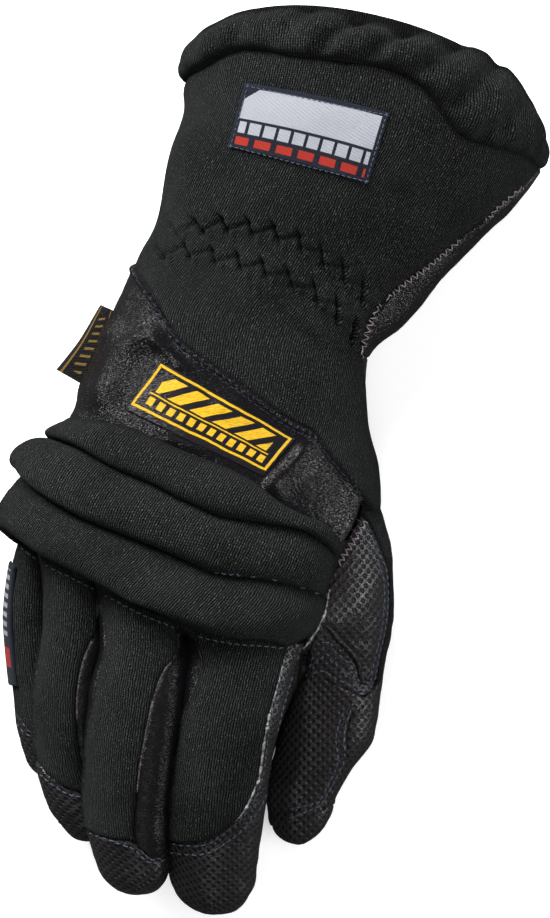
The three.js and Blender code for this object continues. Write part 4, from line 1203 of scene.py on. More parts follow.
def puckers(plan, first, pitch, line, seed):
    """The gathers of one elastic row, as heights and as the depth of each crease from 0 to 1, which sets the painted
    shade there. The seam climbs from pucker to pucker and drops back in a narrow valley that leans along the row;
    beside it the cloth stands in a lobe."""
    off, run = beside_line(plan, smooth_line(line, 2.0))
    phase = (run - first) / pitch + 0.1 * noise(run, off * 0, 20, seed)
    share = phase - np.floor(phase)
    groove = bell(off, PUCKER.rise * (1 - 2 * share), PUCKER.groove)
    lean = 0.5 + 0.5 * smoothstep(run, 20, 75)
    beside_valley = (share - np.round(share)) * pitch - lean * off
    valley = bell(beside_valley, 0, PUCKER.valley) * np.exp(-((off / PUCKER.reach) ** 4))
    lobe = bell(beside_valley, PUCKER.lobe_at, PUCKER.lobe) * bell(off, 0, 4.5)
    strength = (0.8 + 0.2 * noise(run, off * 0, 9, seed + 3)) * smoothstep(run, 0, 12)
    height = PUCKER.depth * strength * (0.55 * lobe - valley - 0.4 * groove)
    return height, strength * np.maximum(valley, 0.45 * groove)


piece = cut("sleeve", LEFT_SEAM, gauntlet_side, shifted(hem_seam, -0.01), shifted(panel_seam, 0.03), spacing=0.55)
heights, pucker_shade = zip(*(puckers(piece.plan, *row, 40 + k) for k, row in enumerate(ELASTIC_ROWS)))
rise = sum(heights) + folds(piece.plan, CUFF_FOLDS) + 0.5 * uneven(piece, 22, 8)
rise = rise + rolled(piece, top=(4.4, 5.5), bottom=(1.0, 1.8), right=(0.9, 1.6), left=(1.2, 1.8))
shaded = np.maximum.reduce([*pucker_shade, 1 - smoothstep(piece.top, 2.2, 5.5)])  # painted shade: in the pulled places and under the hem
stand_in("gauntlet_back", piece, raised(piece, rise), CLOTH + 1.5, KNIT_CLOTH, "knit", crease=shaded)

# %% [markdown]
# ## The leather panel
# Smooth leather crosses the back of the hand below the cuff. It is softer than the palm, so it lies in broad
# folds that catch the light, with fine creases between them. Its top edge is drawn in by its stitches.

# %% Back panel
PANEL_RIDGES = [  # crest, width, height, lean to the crest's right
    ([(-31, 45), (-40, 45), (-46.5, 43), (-53.5, 37.5), (-57.5, 29), (-60, 21), (-62, 12)], 3.8, 3.2, -0.35),
    ([(-52, 50), (-58, 43), (-63, 35), (-66, 26), (-67, 16)], 6.0, 2.8, 0.0),
    ([(-44, 44), (-38.5, 39), (-33, 33.5), (-28, 31)], 2.0, 1.7, 0.2),
    ([(-5, -14), (0, -7), (4.5, -3), (9, 2.6), (13, 8.5)], 3.6, 3.2, 0.35),
    ([(16, 8), (20, 3.5), (26, -5), (28, -12)], 2.4, 1.8, 0.3),
    ([(-58, 9), (-49.5, 9.5), (-38, 7.5), (-27.5, 4.7), (-18, 0)], 2.0, 1.3, 0.2),
    ([(-24, 20), (-14, 17), (-6, 11)], 3.0, 0.8, 0.3),
]
STITCH_PULL = 2.6  # millimetres along the top edge from one drawn-in place to the next
piece = cut("sleeve", LEFT_SEAM, shifted(back_right, -1.0), shifted(panel_seam, -0.01), shifted(roll_seams[0], 0.08),
            spacing=0.48)
place = cloth_place(piece)
rise = ridges(piece.plan, PANEL_RIDGES) + 0.5 * uneven(piece, 15, 31, 2)
rise = rise + 0.15 * creases(place[..., 0], place[..., 1], 6.0, 33, turn=35)
drawn = 0.7 + 0.3 * np.cos(2 * np.pi * place[..., 0] / STITCH_PULL + 2 * streaks(piece, 8, 37))
rise = rise + 1.2 * drawn * bell(piece.top, 1.6, 1.2)
rise = rise + rolled(piece, top=(1.6, 1.5), bottom=(1.0, 3), left=(1.0, 1.6), right=(3.4, 4.0))
stand_in("back_panel", piece, raised(piece, rise), LEATHER, SMOOTH_LEATHER, "leather")

# %% [markdown]
# ## The knuckle rolls
# Three padded rolls of knit guard the knuckles. Each swells from seam to seam and slumps towards the fingers,
# so its lower side hangs over the next roll and hides the seam between them.

# %% Knuckle rolls
ROLLS = table("height slump end blunt", [  # end: the length of its left one, blunt: the power of that taper
    (8.0, 2.6, 46, 1.3), (8.4, 2.8, 20, 3.5), (7.4, 2.0, 16, 3.0),
])
for k, name in enumerate(["roll_upper", "roll_middle", "roll_lower"]):
    piece = cut("sleeve", LEFT_SEAM, shifted(back_right, -0.5), roll_seams[k], shifted(roll_seams[k + 1], 0.03),
                spacing=0.48)
    end = np.clip(1 - piece.left / ROLLS["end"][k], 0, 1)
    swell = np.sin(np.pi * piece.v ** (1.15 + 1.5 * end)) ** 0.6 * (1 - end ** ROLLS["blunt"][k]) ** 0.75
    swell = swell * smoothstep(piece.right, -2, 20) ** 0.8
    rise = ROLLS["height"][k] * swell * (1 + 0.06 * streaks(piece, 30, 50 + k))
    rise = rise + 0.45 * uneven(piece, 14, 60 + k) * swell + rolled(piece, top=(1.2, 1.5), bottom=(1.2, 1.5))
    slump = ROLLS["slump"][k] * swell * smoothstep(piece.v, 0.1, 0.8)
    outside = raised(piece, rise) + unit(np.gradient(piece.points, axis=0)) * slump[..., None]
    stand_in(name, piece, outside, CLOTH, KNIT_CLOTH, "knit")

# %% [markdown]
# ## The underside
# The palm and the inside of the gauntlet are leather. They lie on the table, so they are flat below and plain.

# %% Gauntlet palm and palm
PALM_START = 6  # the sleeve's section where the gauntlet's leather meets the palm's
THUMB_ROOT = SimpleNamespace(section=8.2, degrees=197)  # where the gauntlet's side seam ends at the thumb


def below_hole(section):
    """Degrees of the lower edge of the thumb's hole, which is an ellipse."""
    place = np.clip((section - HOLE.section) / HOLE.sections, -1, 1)
    return HOLE.degrees + HOLE.below * np.sqrt(1 - place**2)


def palm_side(section):
    """The palm's edge: under the knitted side, and then round the thumb's hole."""
    past = np.maximum(THUMB_ROOT.degrees, below_hole(section))
    return np.where(section < THUMB_ROOT.section, gauntlet_side(section), past)


def leather_rise(piece, seed, size=16, height=0.5, edge=0.9):
    """Soft unevenness and fine creases, with all its edges rolled down."""
    place = cloth_place(piece)
    rise = height * uneven(piece, size, seed) + 0.12 * creases(place[..., 0], place[..., 1], 6.0, seed + 3, turn=60)
    sides = ("top", "bottom") if piece.ring else ("top", "bottom", "left", "right")
    return rise + rolled(piece, **{side: (edge, 1.4) for side in sides})


def leather_piece(name, piece, material, slot, rise=None, closed_tip=False):
    """A leather piece that stands for the node of its name."""
    outside = raised(piece, leather_rise(piece, len(OUTSIDES) * 11) if rise is None else rise)
    outside[..., 2] = np.maximum(outside[..., 2], 0)
    return stand_in(name, piece, outside, LEATHER, material, slot, closed_tip=closed_tip)


leather_piece("gauntlet_palm", cut("sleeve", gauntlet_side, 360 + LEFT_SEAM, shifted(hem_seam, -0.01),
                                   PALM_START + 0.02, spacing=1.25), SMOOTH_LEATHER, "leather")
leather_piece("palm", cut("sleeve", palm_side, 360 + LEFT_SEAM, PALM_START - 0.02, MOUTH - 0.05, spacing=1.25),
              DIMPLED_LEATHER, "dimpled_leather")

# %% [markdown]
# ## Fingers
# Each finger has a knitted back, a leather front, a leather tip, and smooth leather strips where it faces its
# neighbours. Their seams are tables of degrees against sections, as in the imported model. The index finger's
# cloth ends in a rounded corner, which is a patch blended between four lines instead of four edges.

# %% Seams of the fingers
FINGER_SEAMS = {
    "index": {
        "left": [(0, 38), (0.62, 39), (0.86, 47), (1.2, 47), (1.6, 42), (1.9, 35), (2.2, 29), (2.8, 22), (3.4, 16),
                 (4.2, 11)],
        "right": [(0, 130), (0.6, 142), (1.8, 144), (2.85, 147)],
        "tip": [(11, 4.2), (60, 4.0), (90, 3.85), (127, 3.4), (147, 2.85), (210, 3.0), (290, 3.6)],
        "left_fork": [(0, -24), (4.2, -24)],
    },
    "middle": {
        "left": [(0, 44), (0.75, 45), (0.87, 49), (1.5, 47), (1.9, 44), (2.25, 36), (2.7, 29), (4.3, 26)],
        "right": [(0, 178), (0.8, 173), (1.05, 156), (1.4, 147), (1.8, 141), (2.4, 137), (3.2, 132), (4.3, 125)],
        "tip": [(26, 4.2), (112, 4.22), (126, 4.34), (145, 4.72), (185, 4.78), (222, 4.65), (262, 4.35),
                (310, 4.24)],
        "left_fork": [(0, -14), (4.2, -14)],
        "right_fork": [(0, 232), (2.4, 232), (3.3, 228), (4.3, 222)],
    },
    "ring": {
        "left": [(0, 48), (1.8, 46), (2.8, 44), (4.1, 42)],
        "right": [(0, 182), (0.75, 180), (0.93, 166), (1.25, 157), (1.7, 155), (2.8, 160), (4.1, 162)],
        "tip": [(42, 3.3), (86, 3.5), (127, 3.85), (170, 4.05)],
        "left_fork": [(0, 0), (4.1, 0)],
        "right_fork": [(0, 250), (2.8, 250), (4.1, 246)],
    },
    "pinky": {
        "left": [(0, 25), (3.5, 25)],
        "right": [(0, 184), (1.3, 182), (3.5, 178)],
        "tip": [(25, 2.6), (81, 2.8), (117, 3.15), (178, 3.4)],
        "right_fork": [(0, 250), (3.5, 250)],
    },
}


def finger_edges(name):
    """The seams of a finger as functions; the one round the tip repeats every 360 degrees."""
    edges = {side: through(*np.array(rows, float).T) for side, rows in FINGER_SEAMS[name].items()}
    degrees, section = np.array(FINGER_SEAMS[name]["tip"], float).T
    edges["tip"] = through(np.concatenate([degrees - 360, degrees, degrees + 360]), np.tile(section, 3))
    return edges


# %% Knitted backs and leather of the fingers
UNDER = 2.5  # degrees that the leather reaches under the cloth
FULLNESS = {"index_left_side": 2.0, "middle_right_side": 2.4}  # millimetres that a strip swells to its neighbour
OTHER_FULLNESS = 1.3
TIP_LEANS = SimpleNamespace(height=1.4, half_turn=0.35, section=0.5)  # the index finger's tip, on its neighbour's


def finger_back(name, edges, seams):
    """The knitted back of a finger. The index finger's one has cut edges, which lie on the leather."""
    if name == "index":
        left, right = ([(degrees, section) for section, degrees in seams[side]] for side in ("left", "right"))
        corner = next(k for k, row in enumerate(seams["tip"]) if row[0] == right[-1][0])
        piece = cut(name, left, right, [left[0], (85, 0), right[0]], seams["tip"][: corner + 1], spacing=0.45)
        rise = 0.7 + rolled(piece, left=(0.9, 1.5), right=(0.4, 0.8), bottom=(0.4, 0.8))
    else:
        piece = cut(name, edges["left"], edges["right"], 0, edges["tip"], spacing=0.45)
        rise = rolled(piece, left=(0.9, 1.5), right=(0.9, 1.5), bottom=(0.9, 1.2))
    rise = rise + 0.45 * uneven(piece, 12, 70 + len(FINGERS[name]["half"]) + len(OUTSIDES))
    stand_in(name + "_back", piece, raised(piece, rise), CLOTH, KNIT_CLOTH, "knit")


def finger_tip(name, edges, first):
    """The leather round a fingertip, from the seam's first degree all round to where the tip closes."""
    ring = cut(name, first, first + 360, edges["tip"], len(FINGERS[name]["half"]), spacing=0.58, ring=True)
    covers = smoothstep(ring.degrees, first, first + 8)
    rise = leather_rise(ring, 80, edge=0.0)
    if name == "index":
        covers = covers * (1 - smoothstep(ring.degrees, 140, 150))
        aside = bell(np.sin(np.radians(ring.degrees) / 2), 0, TIP_LEANS.half_turn)
        rise = rise + TIP_LEANS.height * aside * bell(ring.v, 0, TIP_LEANS.section)
    rise = rise + rounded(ring.top, 0.8, 1.2) * covers
    leather_piece(name + "_tip", ring, DIMPLED_LEATHER, "dimpled_leather", rise, closed_tip=True)


for name in FINGERS:
    edges = finger_edges(name)
    finger_back(name, edges, FINGER_SEAMS[name])
    start = edges.get("right_fork", shifted(edges["right"], -UNDER))
    end = shifted(edges.get("left_fork", shifted(edges["left"], UNDER)), 360)
    front = cut(name, start, end, 0, shifted(edges["tip"], 0.01), spacing=0.7)
    rise = leather_rise(front, 80, edge=0.8) - rounded(front.bottom, 0.8, 1.4)
    leather_piece(name + "_front", front, DIMPLED_LEATHER, "dimpled_leather", rise)
    finger_tip(name, edges, FINGER_SEAMS[name]["tip"][0][0])
    for side, first, second in [("left", "left_fork", "left"), ("right", "right", "right_fork")]:
        if side + "_fork" in edges:
            title = f"{name}_{side}_side"
            strip = cut(name, edges[first], edges[second], 0, edges["tip"], spacing=0.5)
            full = FULLNESS.get(title, OTHER_FULLNESS) * np.sin(np.pi * strip.u) * np.sin(np.pi * strip.v) ** 0.5
            leather_piece(title, strip, SIDE_LEATHER, "leather", leather_rise(strip, 90, edge=0.9) + full)

# %% [markdown]
# Below the knuckles the cloth runs on over the crotch between two fingers before it parts. That bridge is a
# small grid between the two cloths, from a line just inside the edge of one to a line just inside the other's,
# and it is joined to the cloth of the finger on its left.

# %% Cloth over the crotches
CROTCHES = [("middle", "index", 12.5), ("ring", "middle", 18)]  # left finger, right finger, length in mm
INSIDE_EDGE = 5  # grid columns from a cloth's edge to where the bridge meets it


def joined(made, other):
    """Puts another object's mesh into this one's."""
    shape = bmesh.new()
    shape.from_mesh(made.data)
    shape.from_mesh(other.data)
    bpy.data.objects.remove(other)
    shape.to_mesh(made.data)
    shape.free()


def spanned(first, second, t):
    """The grid of points between two lines, which are its first and last columns."""
    return first * (1 - t[..., None]) + second * t[..., None]


def facing_upward(points):
    """The normals of a grid of points, turned to point up."""
    normals = grid_normals(points)
    return normals * np.sign(normals[..., 2:])


for first, second, long in CROTCHES:
    t, v = np.meshgrid(np.linspace(0, 1, 25), np.linspace(0, 1, 31))
    at = v * long * (1 - 0.2 * np.sin(np.pi * t))
    sides = []
    for line in (OUTSIDES[first + "_back"][0][:, -1 - INSIDE_EDGE], OUTSIDES[second + "_back"][0][:, INSIDE_EDGE]):
        run = lengths(line, 0)
        sides.append(np.stack([np.interp(at, run, line[:, k]) for k in range(3)], -1))
    points = spanned(*sides, t)
    height = 0.3 - 0.9 * np.abs(2 * t - 1) ** 6 - 0.5 * smoothstep(v, 0.8, 1) * np.sin(np.pi * t)
    piece = measured(points, facing_upward(points), ring=False, coarse=1)
    uv, width = np.stack([piece.left, piece.top], -1), piece.left[:, -1].mean()
    piece.left = piece.right = piece.top = np.full_like(t, SHADE_WIDTH)  # only its free edge is a seam, and gets the knit's painted seam shade
    shell("bridge", piece, raised(piece, height), 1.2, KNIT_CLOTH, uv=uv)
    OUTSIDES[first + "_crotch"] = OUTSIDES.pop("bridge")
    joined(PIECES[first + "_back"], PIECES.pop("bridge"))
    print(first, second, f"bridge {width:.1f} mm wide")

# %% [markdown]
# ## The thumb
# A gusset of dimpled leather joins the thumb to the hand. A rolled piping crosses it at the crotch, then a
# stitched saddle, and then the thumb's own leather. A strip of knit runs down the outer edge, on from the cuff.

# %% Thumb pieces
THUMB_RINGS = table("degrees piping saddle tip", [
    (-22, 0.5, 1.3, 7.2), (30, 0.52, 1.9, 7.25), (52, 0.57, 2.24, 7.25), (57, 0.98, 2.3, 7.25),
    (76, 1.71, 2.75, 7.22), (91, 2.19, 3.04, 7.2), (106, 2.67, 3.33, 7.17), (118, 3.18, 3.55, 7.15),
    (145, 3.4, 3.75, 7.1),
])
THUMB_SIDES = table("section back outer", [
    (0, 134, 190), (0.75, 135, 190), (1.05, 141, 190), (1.5, 144, 190), (2.7, 144, 187), (3.3, 145, 165),
    (3.5, 143, 152), (3.75, 117, 120), (4.4, 113, 113), (6.1, 137, 137), (7.1, 129, 129),
])
THUMB_LEFT, THUMB_RIGHT = -22, 338  # degrees of the seam at the fingers' side, and the same once round
STRIP_END, FRONT_END, TIP_END = 3.5, 7.1, 8  # the thumb's sections where its pieces end
GUSSET_SWELL = 2.0  # millimetres that it stands up between the roll and its outer seam
WEB = SimpleNamespace(index=(202, 0.2, 3.0), thumb=(-4, 0.5, 4.3), sag=4.0)  # degrees and first and last section
piping, saddle, thumb_cap = (through(THUMB_RINGS["degrees"], THUMB_RINGS[c]) for c in ("piping", "saddle", "tip"))
thumb_inner, thumb_outer = (through(THUMB_SIDES["section"], THUMB_SIDES[c]) for c in ("back", "outer"))


def tip_start(degrees):
    """The seam of the thumb's tip: as drawn on the back, and level round the front until it closes."""
    front = FRONT_END + 0.1 * smoothstep(degrees, 300, THUMB_RIGHT)
    return np.where(degrees > THUMB_RINGS["degrees"][-1], front, thumb_cap(degrees))


gusset = cut("thumb", THUMB_LEFT, thumb_inner, 0, piping)
gusset.points = raised(gusset, GUSSET_SWELL * np.sin(np.pi * gusset.u) * np.sin(np.pi * np.clip(gusset.v, 0, 1)) ** 0.5)
leather_piece("gusset", gusset, DIMPLED_LEATHER, "dimpled_leather")
leather_piece("thumb_saddle", cut("thumb", THUMB_LEFT, thumb_inner, piping, shifted(saddle, 0.02)),
              DIMPLED_LEATHER, "leather")

t, v = np.meshgrid(np.linspace(0, 1, 21), np.linspace(0, 1, 41))
sides = [
    SURFACES[kind](np.full_like(v, degrees), first + (last - first) * v)
    for kind, (degrees, first, last) in (("index", WEB.index), ("thumb", WEB.thumb))
]
points = spanned(*sides, t) - WEB.sag * np.sin(np.pi * t)[..., None] * UP
web = measured(points, facing_upward(points), ring=False, coarse=1)
shell("web", web, points, 1.0, DIMPLED_LEATHER, uv=np.stack([web.left, web.top], -1))
joined(PIECES["thumb_saddle"], PIECES.pop("web"))
(wide, long, area), (web_wide, _, web_area) = FLATS["thumb_saddle"], FLATS["web"]
FLATS["thumb_saddle"] = (wide, long + web_wide, area + web_area)  # the web is cut in one with it, along its side
leather_piece("thumb_back", cut("thumb", THUMB_LEFT, thumb_inner, saddle, shifted(thumb_cap, 0.02)),
              DIMPLED_LEATHER, "dimpled_leather")
strip = cut("thumb", thumb_inner, shifted(thumb_outer, -1), 0, STRIP_END, spacing=0.45)
rise = 0.4 * uneven(strip, 12, 75) + rolled(strip, left=(0.9, 1.5), right=(0.9, 1.5))
stand_in("thumb_strip", strip, raised(strip, rise), CLOTH, KNIT_CLOTH, "knit")
leather_piece("thumb_front", cut("thumb", thumb_outer, THUMB_RIGHT, 0, FRONT_END + 0.02, spacing=0.7),
              DIMPLED_LEATHER, "dimpled_leather")
ring = cut("thumb", THUMB_LEFT, THUMB_RIGHT, tip_start, TIP_END, ring=True)
leather_piece("thumb_tip", ring, DIMPLED_LEATHER, "dimpled_leather", leather_rise(ring, 95, edge=0.4),
              closed_tip=True)

# %% [markdown]
# ## What is sewn onto the glove
# Labels, stitches, piping and raw edges are known by their places on the plan. `lying` finds where the camera's
# line of sight through each place meets the pieces made so far, so whatever is sewn on follows their folds.

# %% Laying things on the outside


def lying(names, plan, reach=1.5):
    """Points and normals of these pieces under places on the plan, and which places have a piece under them:
    the outside point that the camera sees nearest to the place, moved in its tangent plane to the very place."""
    flat = plan.reshape(-1, 2)
    points = np.concatenate([OUTSIDES[name][0].reshape(-1, 3) for name in names])
    normals = np.concatenate([OUTSIDES[name][1].reshape(-1, 3) for name in names])
    spots = seen(points)
    near = (normals[:, 2] > 0.05) & (spots > flat.min(0) - 2).all(1) & (spots < flat.max(0) + 2).all(1)
    points, normals, spots = points[near], normals[near], spots[near]
    nearest = np.concatenate([
        ((spots - some[:, None]) ** 2).sum(-1).argmin(1) for some in np.array_split(flat, max(1, len(flat) // 100))
    ])
    miss = flat - spots[nearest]
    at, normal = points[nearest].copy(), normals[nearest]
    at[:, :2] += miss
    at[:, 2] -= np.clip((normal[:, :2] * miss).sum(1) / normal[:, 2], -2, 2)
    shape = plan.shape[:-1]
    return at.reshape(*shape, 3), normal.reshape(*shape, 3), (np.linalg.norm(miss, axis=1) < reach).reshape(shape)


def softened(grid, passes):
    """A grid of heights with each point moved towards the mean of its four neighbours, some times over."""
    for _ in range(passes):
        wide = np.pad(grid, 1, mode="edge")
        grid = (wide[:-2, 1:-1] + wide[2:, 1:-1] + wide[1:-1, :-2] + wide[1:-1, 2:]) / 4
    return grid


def patch(name, corners, on, material, slot, proud=0.5, thick=0.5, spacing=0.4, passes=30, bow=0.0):
    """A flat patch sewn onto pieces: its grid is blended between four corners on the plan, its heights are
    those under it, softened, and never below them. Its UV map is millimetres from its upper left corner."""
    top_left, top_right, bottom_right, bottom_left = (np.array(c, float) for c in corners)
    wide, long = np.linalg.norm(top_right - top_left), np.linalg.norm(bottom_left - top_left)
    u, v = np.meshgrid(np.linspace(0, 1, round(wide / spacing) + 1), np.linspace(0, 1, round(long / spacing) + 1))
    u1, v1 = u[..., None], v[..., None]
    plan = (top_left * (1 - u1) + top_right * u1) * (1 - v1) + (bottom_left * (1 - u1) + bottom_right * u1) * v1
    plan = plan + unit(top_left - bottom_left) * bow * np.sin(np.pi * u1)
    points, _, _ = lying(on, plan)
    under = points[..., 2]
    points[..., 2] = softened(np.maximum(softened(under, passes), under), 4)
    piece = measured(points, facing_upward(points), ring=False, coarse=1)
    outside = raised(piece, proud + rounded(nearest_edge(piece), 0.25, 0.5))
    stand_in(name, piece, outside, thick - proud, material, slot, uv=np.stack([u * wide, v * long], -1))
    print(name, f"{wide:.0f} x {long:.0f} mm")


# %% [markdown]
# The woven label has a navy ground, a white panel and two rows of plain bars. The badge is printed on the
# leather in yellow: a border, slanted stripes and a row of ticks. They are masks worked out from the patch's own
# millimetres: a band is one smooth step up and one down, and a stripe is a band of the repeated coordinate.

# %% Finishes of the labels and the badge


def band(at, low, high, soft=0.12):
    """1 between low and high, 0 outside."""
    return ramp(at, low - soft, low + soft) - ramp(at, high - soft, high + soft)


def boxed(made, x0, x1, y0, y1):
    """The mask of a rectangle in the patch's millimetres."""
    return band(made.across, x0, x1) * band(made.down, y0, y1)


def stripes(made, pitch, share, slant=0.0):
    """The mask of stripes down the patch, that take a share of their pitch and lean by a slant."""
    part = ((made.down * slant + made.across) / pitch).maths("FRACT")
    return band(part, (1 - share) / 2, (1 + share) / 2, 0.1 / pitch)


def woven_material(name, ground, layers):
    """A woven label: a ground colour, then colours laid on by masks, and the weave as shade and as a bump."""
    made = new_material(name, Specular_IOR_Level=0.3, Sheen_Weight=0.05)
    weave = use(made.tree, WEAVE, Across=made.across, Down=made.down)["Height"]
    colour = ground
    for mask, tone in layers(made):
        colour = blend(mask, colour, tone)
    colour = blend((1 - ramp(weave, 0.0, 0.45)) * 0.55, colour, (0, 0, 0))
    return finished(made, colour, weave * -0.15 + 0.65, (weave, 0.00012))


NAVY, WHITE, RED = (0.009, 0.012, 0.021), (0.4, 0.41, 0.455), (0.38, 0.028, 0.016)
BRIGHT_RED, BLACK = (0.45, 0.02, 0.02), (0.006, 0.006, 0.007)
GOLD, YELLOW = (0.22, 0.125, 0.03), (0.47, 0.275, 0.009)


def cuff_label_layers(made):
    """The white panel with its bevelled upper left corner, a row of white bars and a row of red ones."""
    panel = boxed(made, 1.6, 49.6, 1.6, 12.4) * ramp(made.down * 1.1 + made.across, 7.6, 8.0)
    upper = boxed(made, 2.2, 49.4, 13.4, 17.4) * stripes(made, 5.25, 0.78)
    lower = boxed(made, 2.2, 49.4, 18.8, 21.6) * stripes(made, 7.9, 0.72)
    return [(panel, WHITE), (upper, WHITE), (lower, RED)]


def finger_label_layers(made):
    """Plain white bars down the strip and a red block at its end."""
    bars = band((made.down / 3.4).maths("FRACT"), 0.2, 0.72, 0.04) * boxed(made, 1.6, 5.4, 2.0, 27.0)
    return [(bars, WHITE), (boxed(made, 1.2, 5.8, 30.5, 37.5), BRIGHT_RED)]


def tag_layers(made):
    """Gold border lines and short slanted gold bars between them."""
    turned = ((made.across * 0.35 + made.down) / 2.6).maths("FRACT")
    bars = band(turned, 0.2, 0.5, 0.04) * boxed(made, 3.4, 6.8, 2.5, 22.5)
    return [(band(made.across, 1.2, 1.8) + band(made.across, 8.6, 9.2), GOLD), (bars, GOLD)]


def badge_material(name):
    """Yellow print on glossy black leather: a wavy border, slanted stripes over a line, and ticks under it."""
    made = new_material(name, Specular_IOR_Level=0.5)
    wobble = node(made.tree, "ShaderNodeTexNoise", Vector=made.place, Scale=110.0).outputs["Color"]
    split = node(made.tree, "ShaderNodeSeparateXYZ", Vector=wobble)
    made.across = Number(split.outputs[0]) * 1.1 + (made.across - 0.55)
    made.down = Number(split.outputs[1]) * 1.1 + (made.down - 0.55)
    border_lines = boxed(made, 0.7, 53.4, 0.7, 18.4) - boxed(made, 1.7, 52.4, 1.7, 17.4)
    upper = boxed(made, 5.0, 49.0, 3.0, 10.6) * stripes(made, 8.8, 0.62, 0.9)
    line = boxed(made, 3.6, 50.5, 11.3, 11.9)
    lower = boxed(made, 3.4, 50.7, 12.8, 16.0) * stripes(made, 3.95, 0.6)
    mask = (border_lines + upper).maths("ADD", line + lower, clamp=True)
    hide = use(made.tree, GRAIN, Place=made.place, Scale=1 / (0.7 * MM))
    colour = blend(mask * (hide["Crack"] * -0.25 + 1), (0.0075, 0.0065, 0.008), YELLOW)
    return finished(made, colour, mask * 0.1 + 0.3, (hide["Height"], 0.00015), (mask, 0.0002))


CUFF_LABEL = woven_material("woven_label", NAVY, cuff_label_layers)
FINGER_LABEL = woven_material("finger_label", NAVY, finger_label_layers)
TAG_CLOTH = woven_material("side_tag_cloth", BLACK, tag_layers)
BADGE_PRINT = badge_material("badge_print")

# %% Cuff label and badge
patch("cuff_label", [(-10.5, 132), (40, 121.5), (32.5, 96.5), (-16.5, 109.5)], ["gauntlet_back"],
      CUFF_LABEL, "label_white", proud=0.9, bow=0.8)
patch("badge", [(-40, 34.5), (7, 7.5), (-4, -6), (-52.5, 17.5)], ["back_panel"],
      BADGE_PRINT, "badge_yellow", proud=0.45, passes=12)

# %% [markdown]
# A tag of woven ribbon, folded at its outer edge, is caught in the side seam. It is one band that goes out along
# its top and comes back underneath, so its cross-section is a flat loop with a round nose.

# %% Side tag and little finger's label
TAG_WIDE, TAG_LONG = 20.0, 24.5  # millimetres of ribbon, unfolded
TAG_SHARE = 0.8  # of that box, as one end is narrower
u, v = np.meshgrid(np.linspace(0, 1, 37), np.linspace(0, 1, 49))
out = np.minimum(u, 1 - u) * 2  # 0 at the seam on both layers and 1 at the fold
root = sleeve(np.full_like(v, -1.0), 6.14 + 1.28 * v)
away = np.stack([-0.5 - (4.4 + 6.2 * v) * out, (2 + 4 * v) * out, -1.5 * out], -1)
half = 0.75 * np.sqrt(np.maximum(0.0, 1 - out**6)) + 0.15 * np.sin(np.pi * v) * out
lift = np.where(u < 0.5, 1.0, -1.0) * half + 0.5 * np.sin(5 * v + 2 * out) * out
points = root + away + lift[..., None] * UP
numbers = np.arange(u.size).reshape(u.shape)
tag = mesh_object("side_tag_sewn", points.reshape(-1, 3), [
    grid_faces(numbers), numbers[:1], numbers[-1:, ::-1],
    np.stack([numbers[:-1, 0], numbers[:-1, -1], numbers[1:, -1], numbers[1:, 0]], -1)[:, ::-1],
], TAG_CLOTH, np.stack([TAG_WIDE / 2 * (1 - out), TAG_LONG * v], -1).reshape(-1, 2), [True, False, False, False])
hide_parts("side_tag")
PIECES["side_tag"], FLATS["side_tag"] = tag, (TAG_WIDE, TAG_LONG, TAG_WIDE * TAG_LONG * TAG_SHARE)
print("side_tag", len(tag.data.polygons), "faces")

strip = cut("pinky", 60, 100, 0.45, 2.15, spacing=0.5)
outside = raised(strip, 1.1 + rounded(nearest_edge(strip), 0.4, 0.7))
stand_in("pinky_label", strip, outside, -0.1, FINGER_LABEL, "label_dark", uv=np.stack([strip.left, strip.top], -1))

# %% [markdown]
# ## Stitches
# A stitch is a short rounded bar, bent so that both ends dip into the cloth. One template of twenty-six faces is
# carried to every place in a single array sum, so hundreds of stitches cost one mesh.

# %% Stitches along seams
BAR_ALONG = np.array([-1, -0.8, 0, 0.8, 1.0])  # the places along a stitch, in halves of its length
BAR_ROUND = np.array([0.4, 0.85, 1, 0.85, 0.4])  # its thickness at each of them
BAR_SIDES = 6


def bars(name, at, way, normal, length, width, material, slot, lift=0.25):
    """Bars at places, each along its way on its normal: a six-sided profile carried along a shallow arch."""
    around = np.radians(np.arange(BAR_SIDES) * 360 / BAR_SIDES)
    side = unit(np.cross(normal, way))
    along, ring = BAR_ALONG[:, None], BAR_ROUND[:, None]
    local = np.stack([
        along * length / 2 + 0 * around, ring * np.cos(around) * width / 2,
        ring * np.sin(around) * width / 2 + lift * width * 2 * (1 - 1.6 * along**2),
    ], -1).reshape(-1, 3)
    points = at[:, None] + local @ np.stack([way, side, normal], 1)
    numbers = np.arange(len(local)).reshape(len(BAR_ALONG), BAR_SIDES)
    loop = np.concatenate([numbers, numbers[:, :1]], 1)
    start = numbers.size * np.arange(len(at))[:, None, None]
    quads = (grid_faces(loop)[None] + start).reshape(-1, 4)
    caps = (np.stack([numbers[0], numbers[-1, ::-1]])[None] + start).reshape(-1, BAR_SIDES)
    made = mesh_object(name, points.reshape(-1, 3), [quads, caps], material, np.tile(local[:, :2], (len(at), 1)))
    print(name, len(at), "stitches")


def row_of(names, line, pitch):
    """Places, ways and normals of a row of stitches along a line on the plan, where a piece lies under it."""
    at, normal, there = lying(names, smooth_line(line, pitch))
    there = there & (normal[:, 2] > 0.25)
    way = np.gradient(at, axis=0)
    way = unit(way - normal * (way * normal).sum(-1, keepdims=True))
    return at[there], way[there], normal[there]


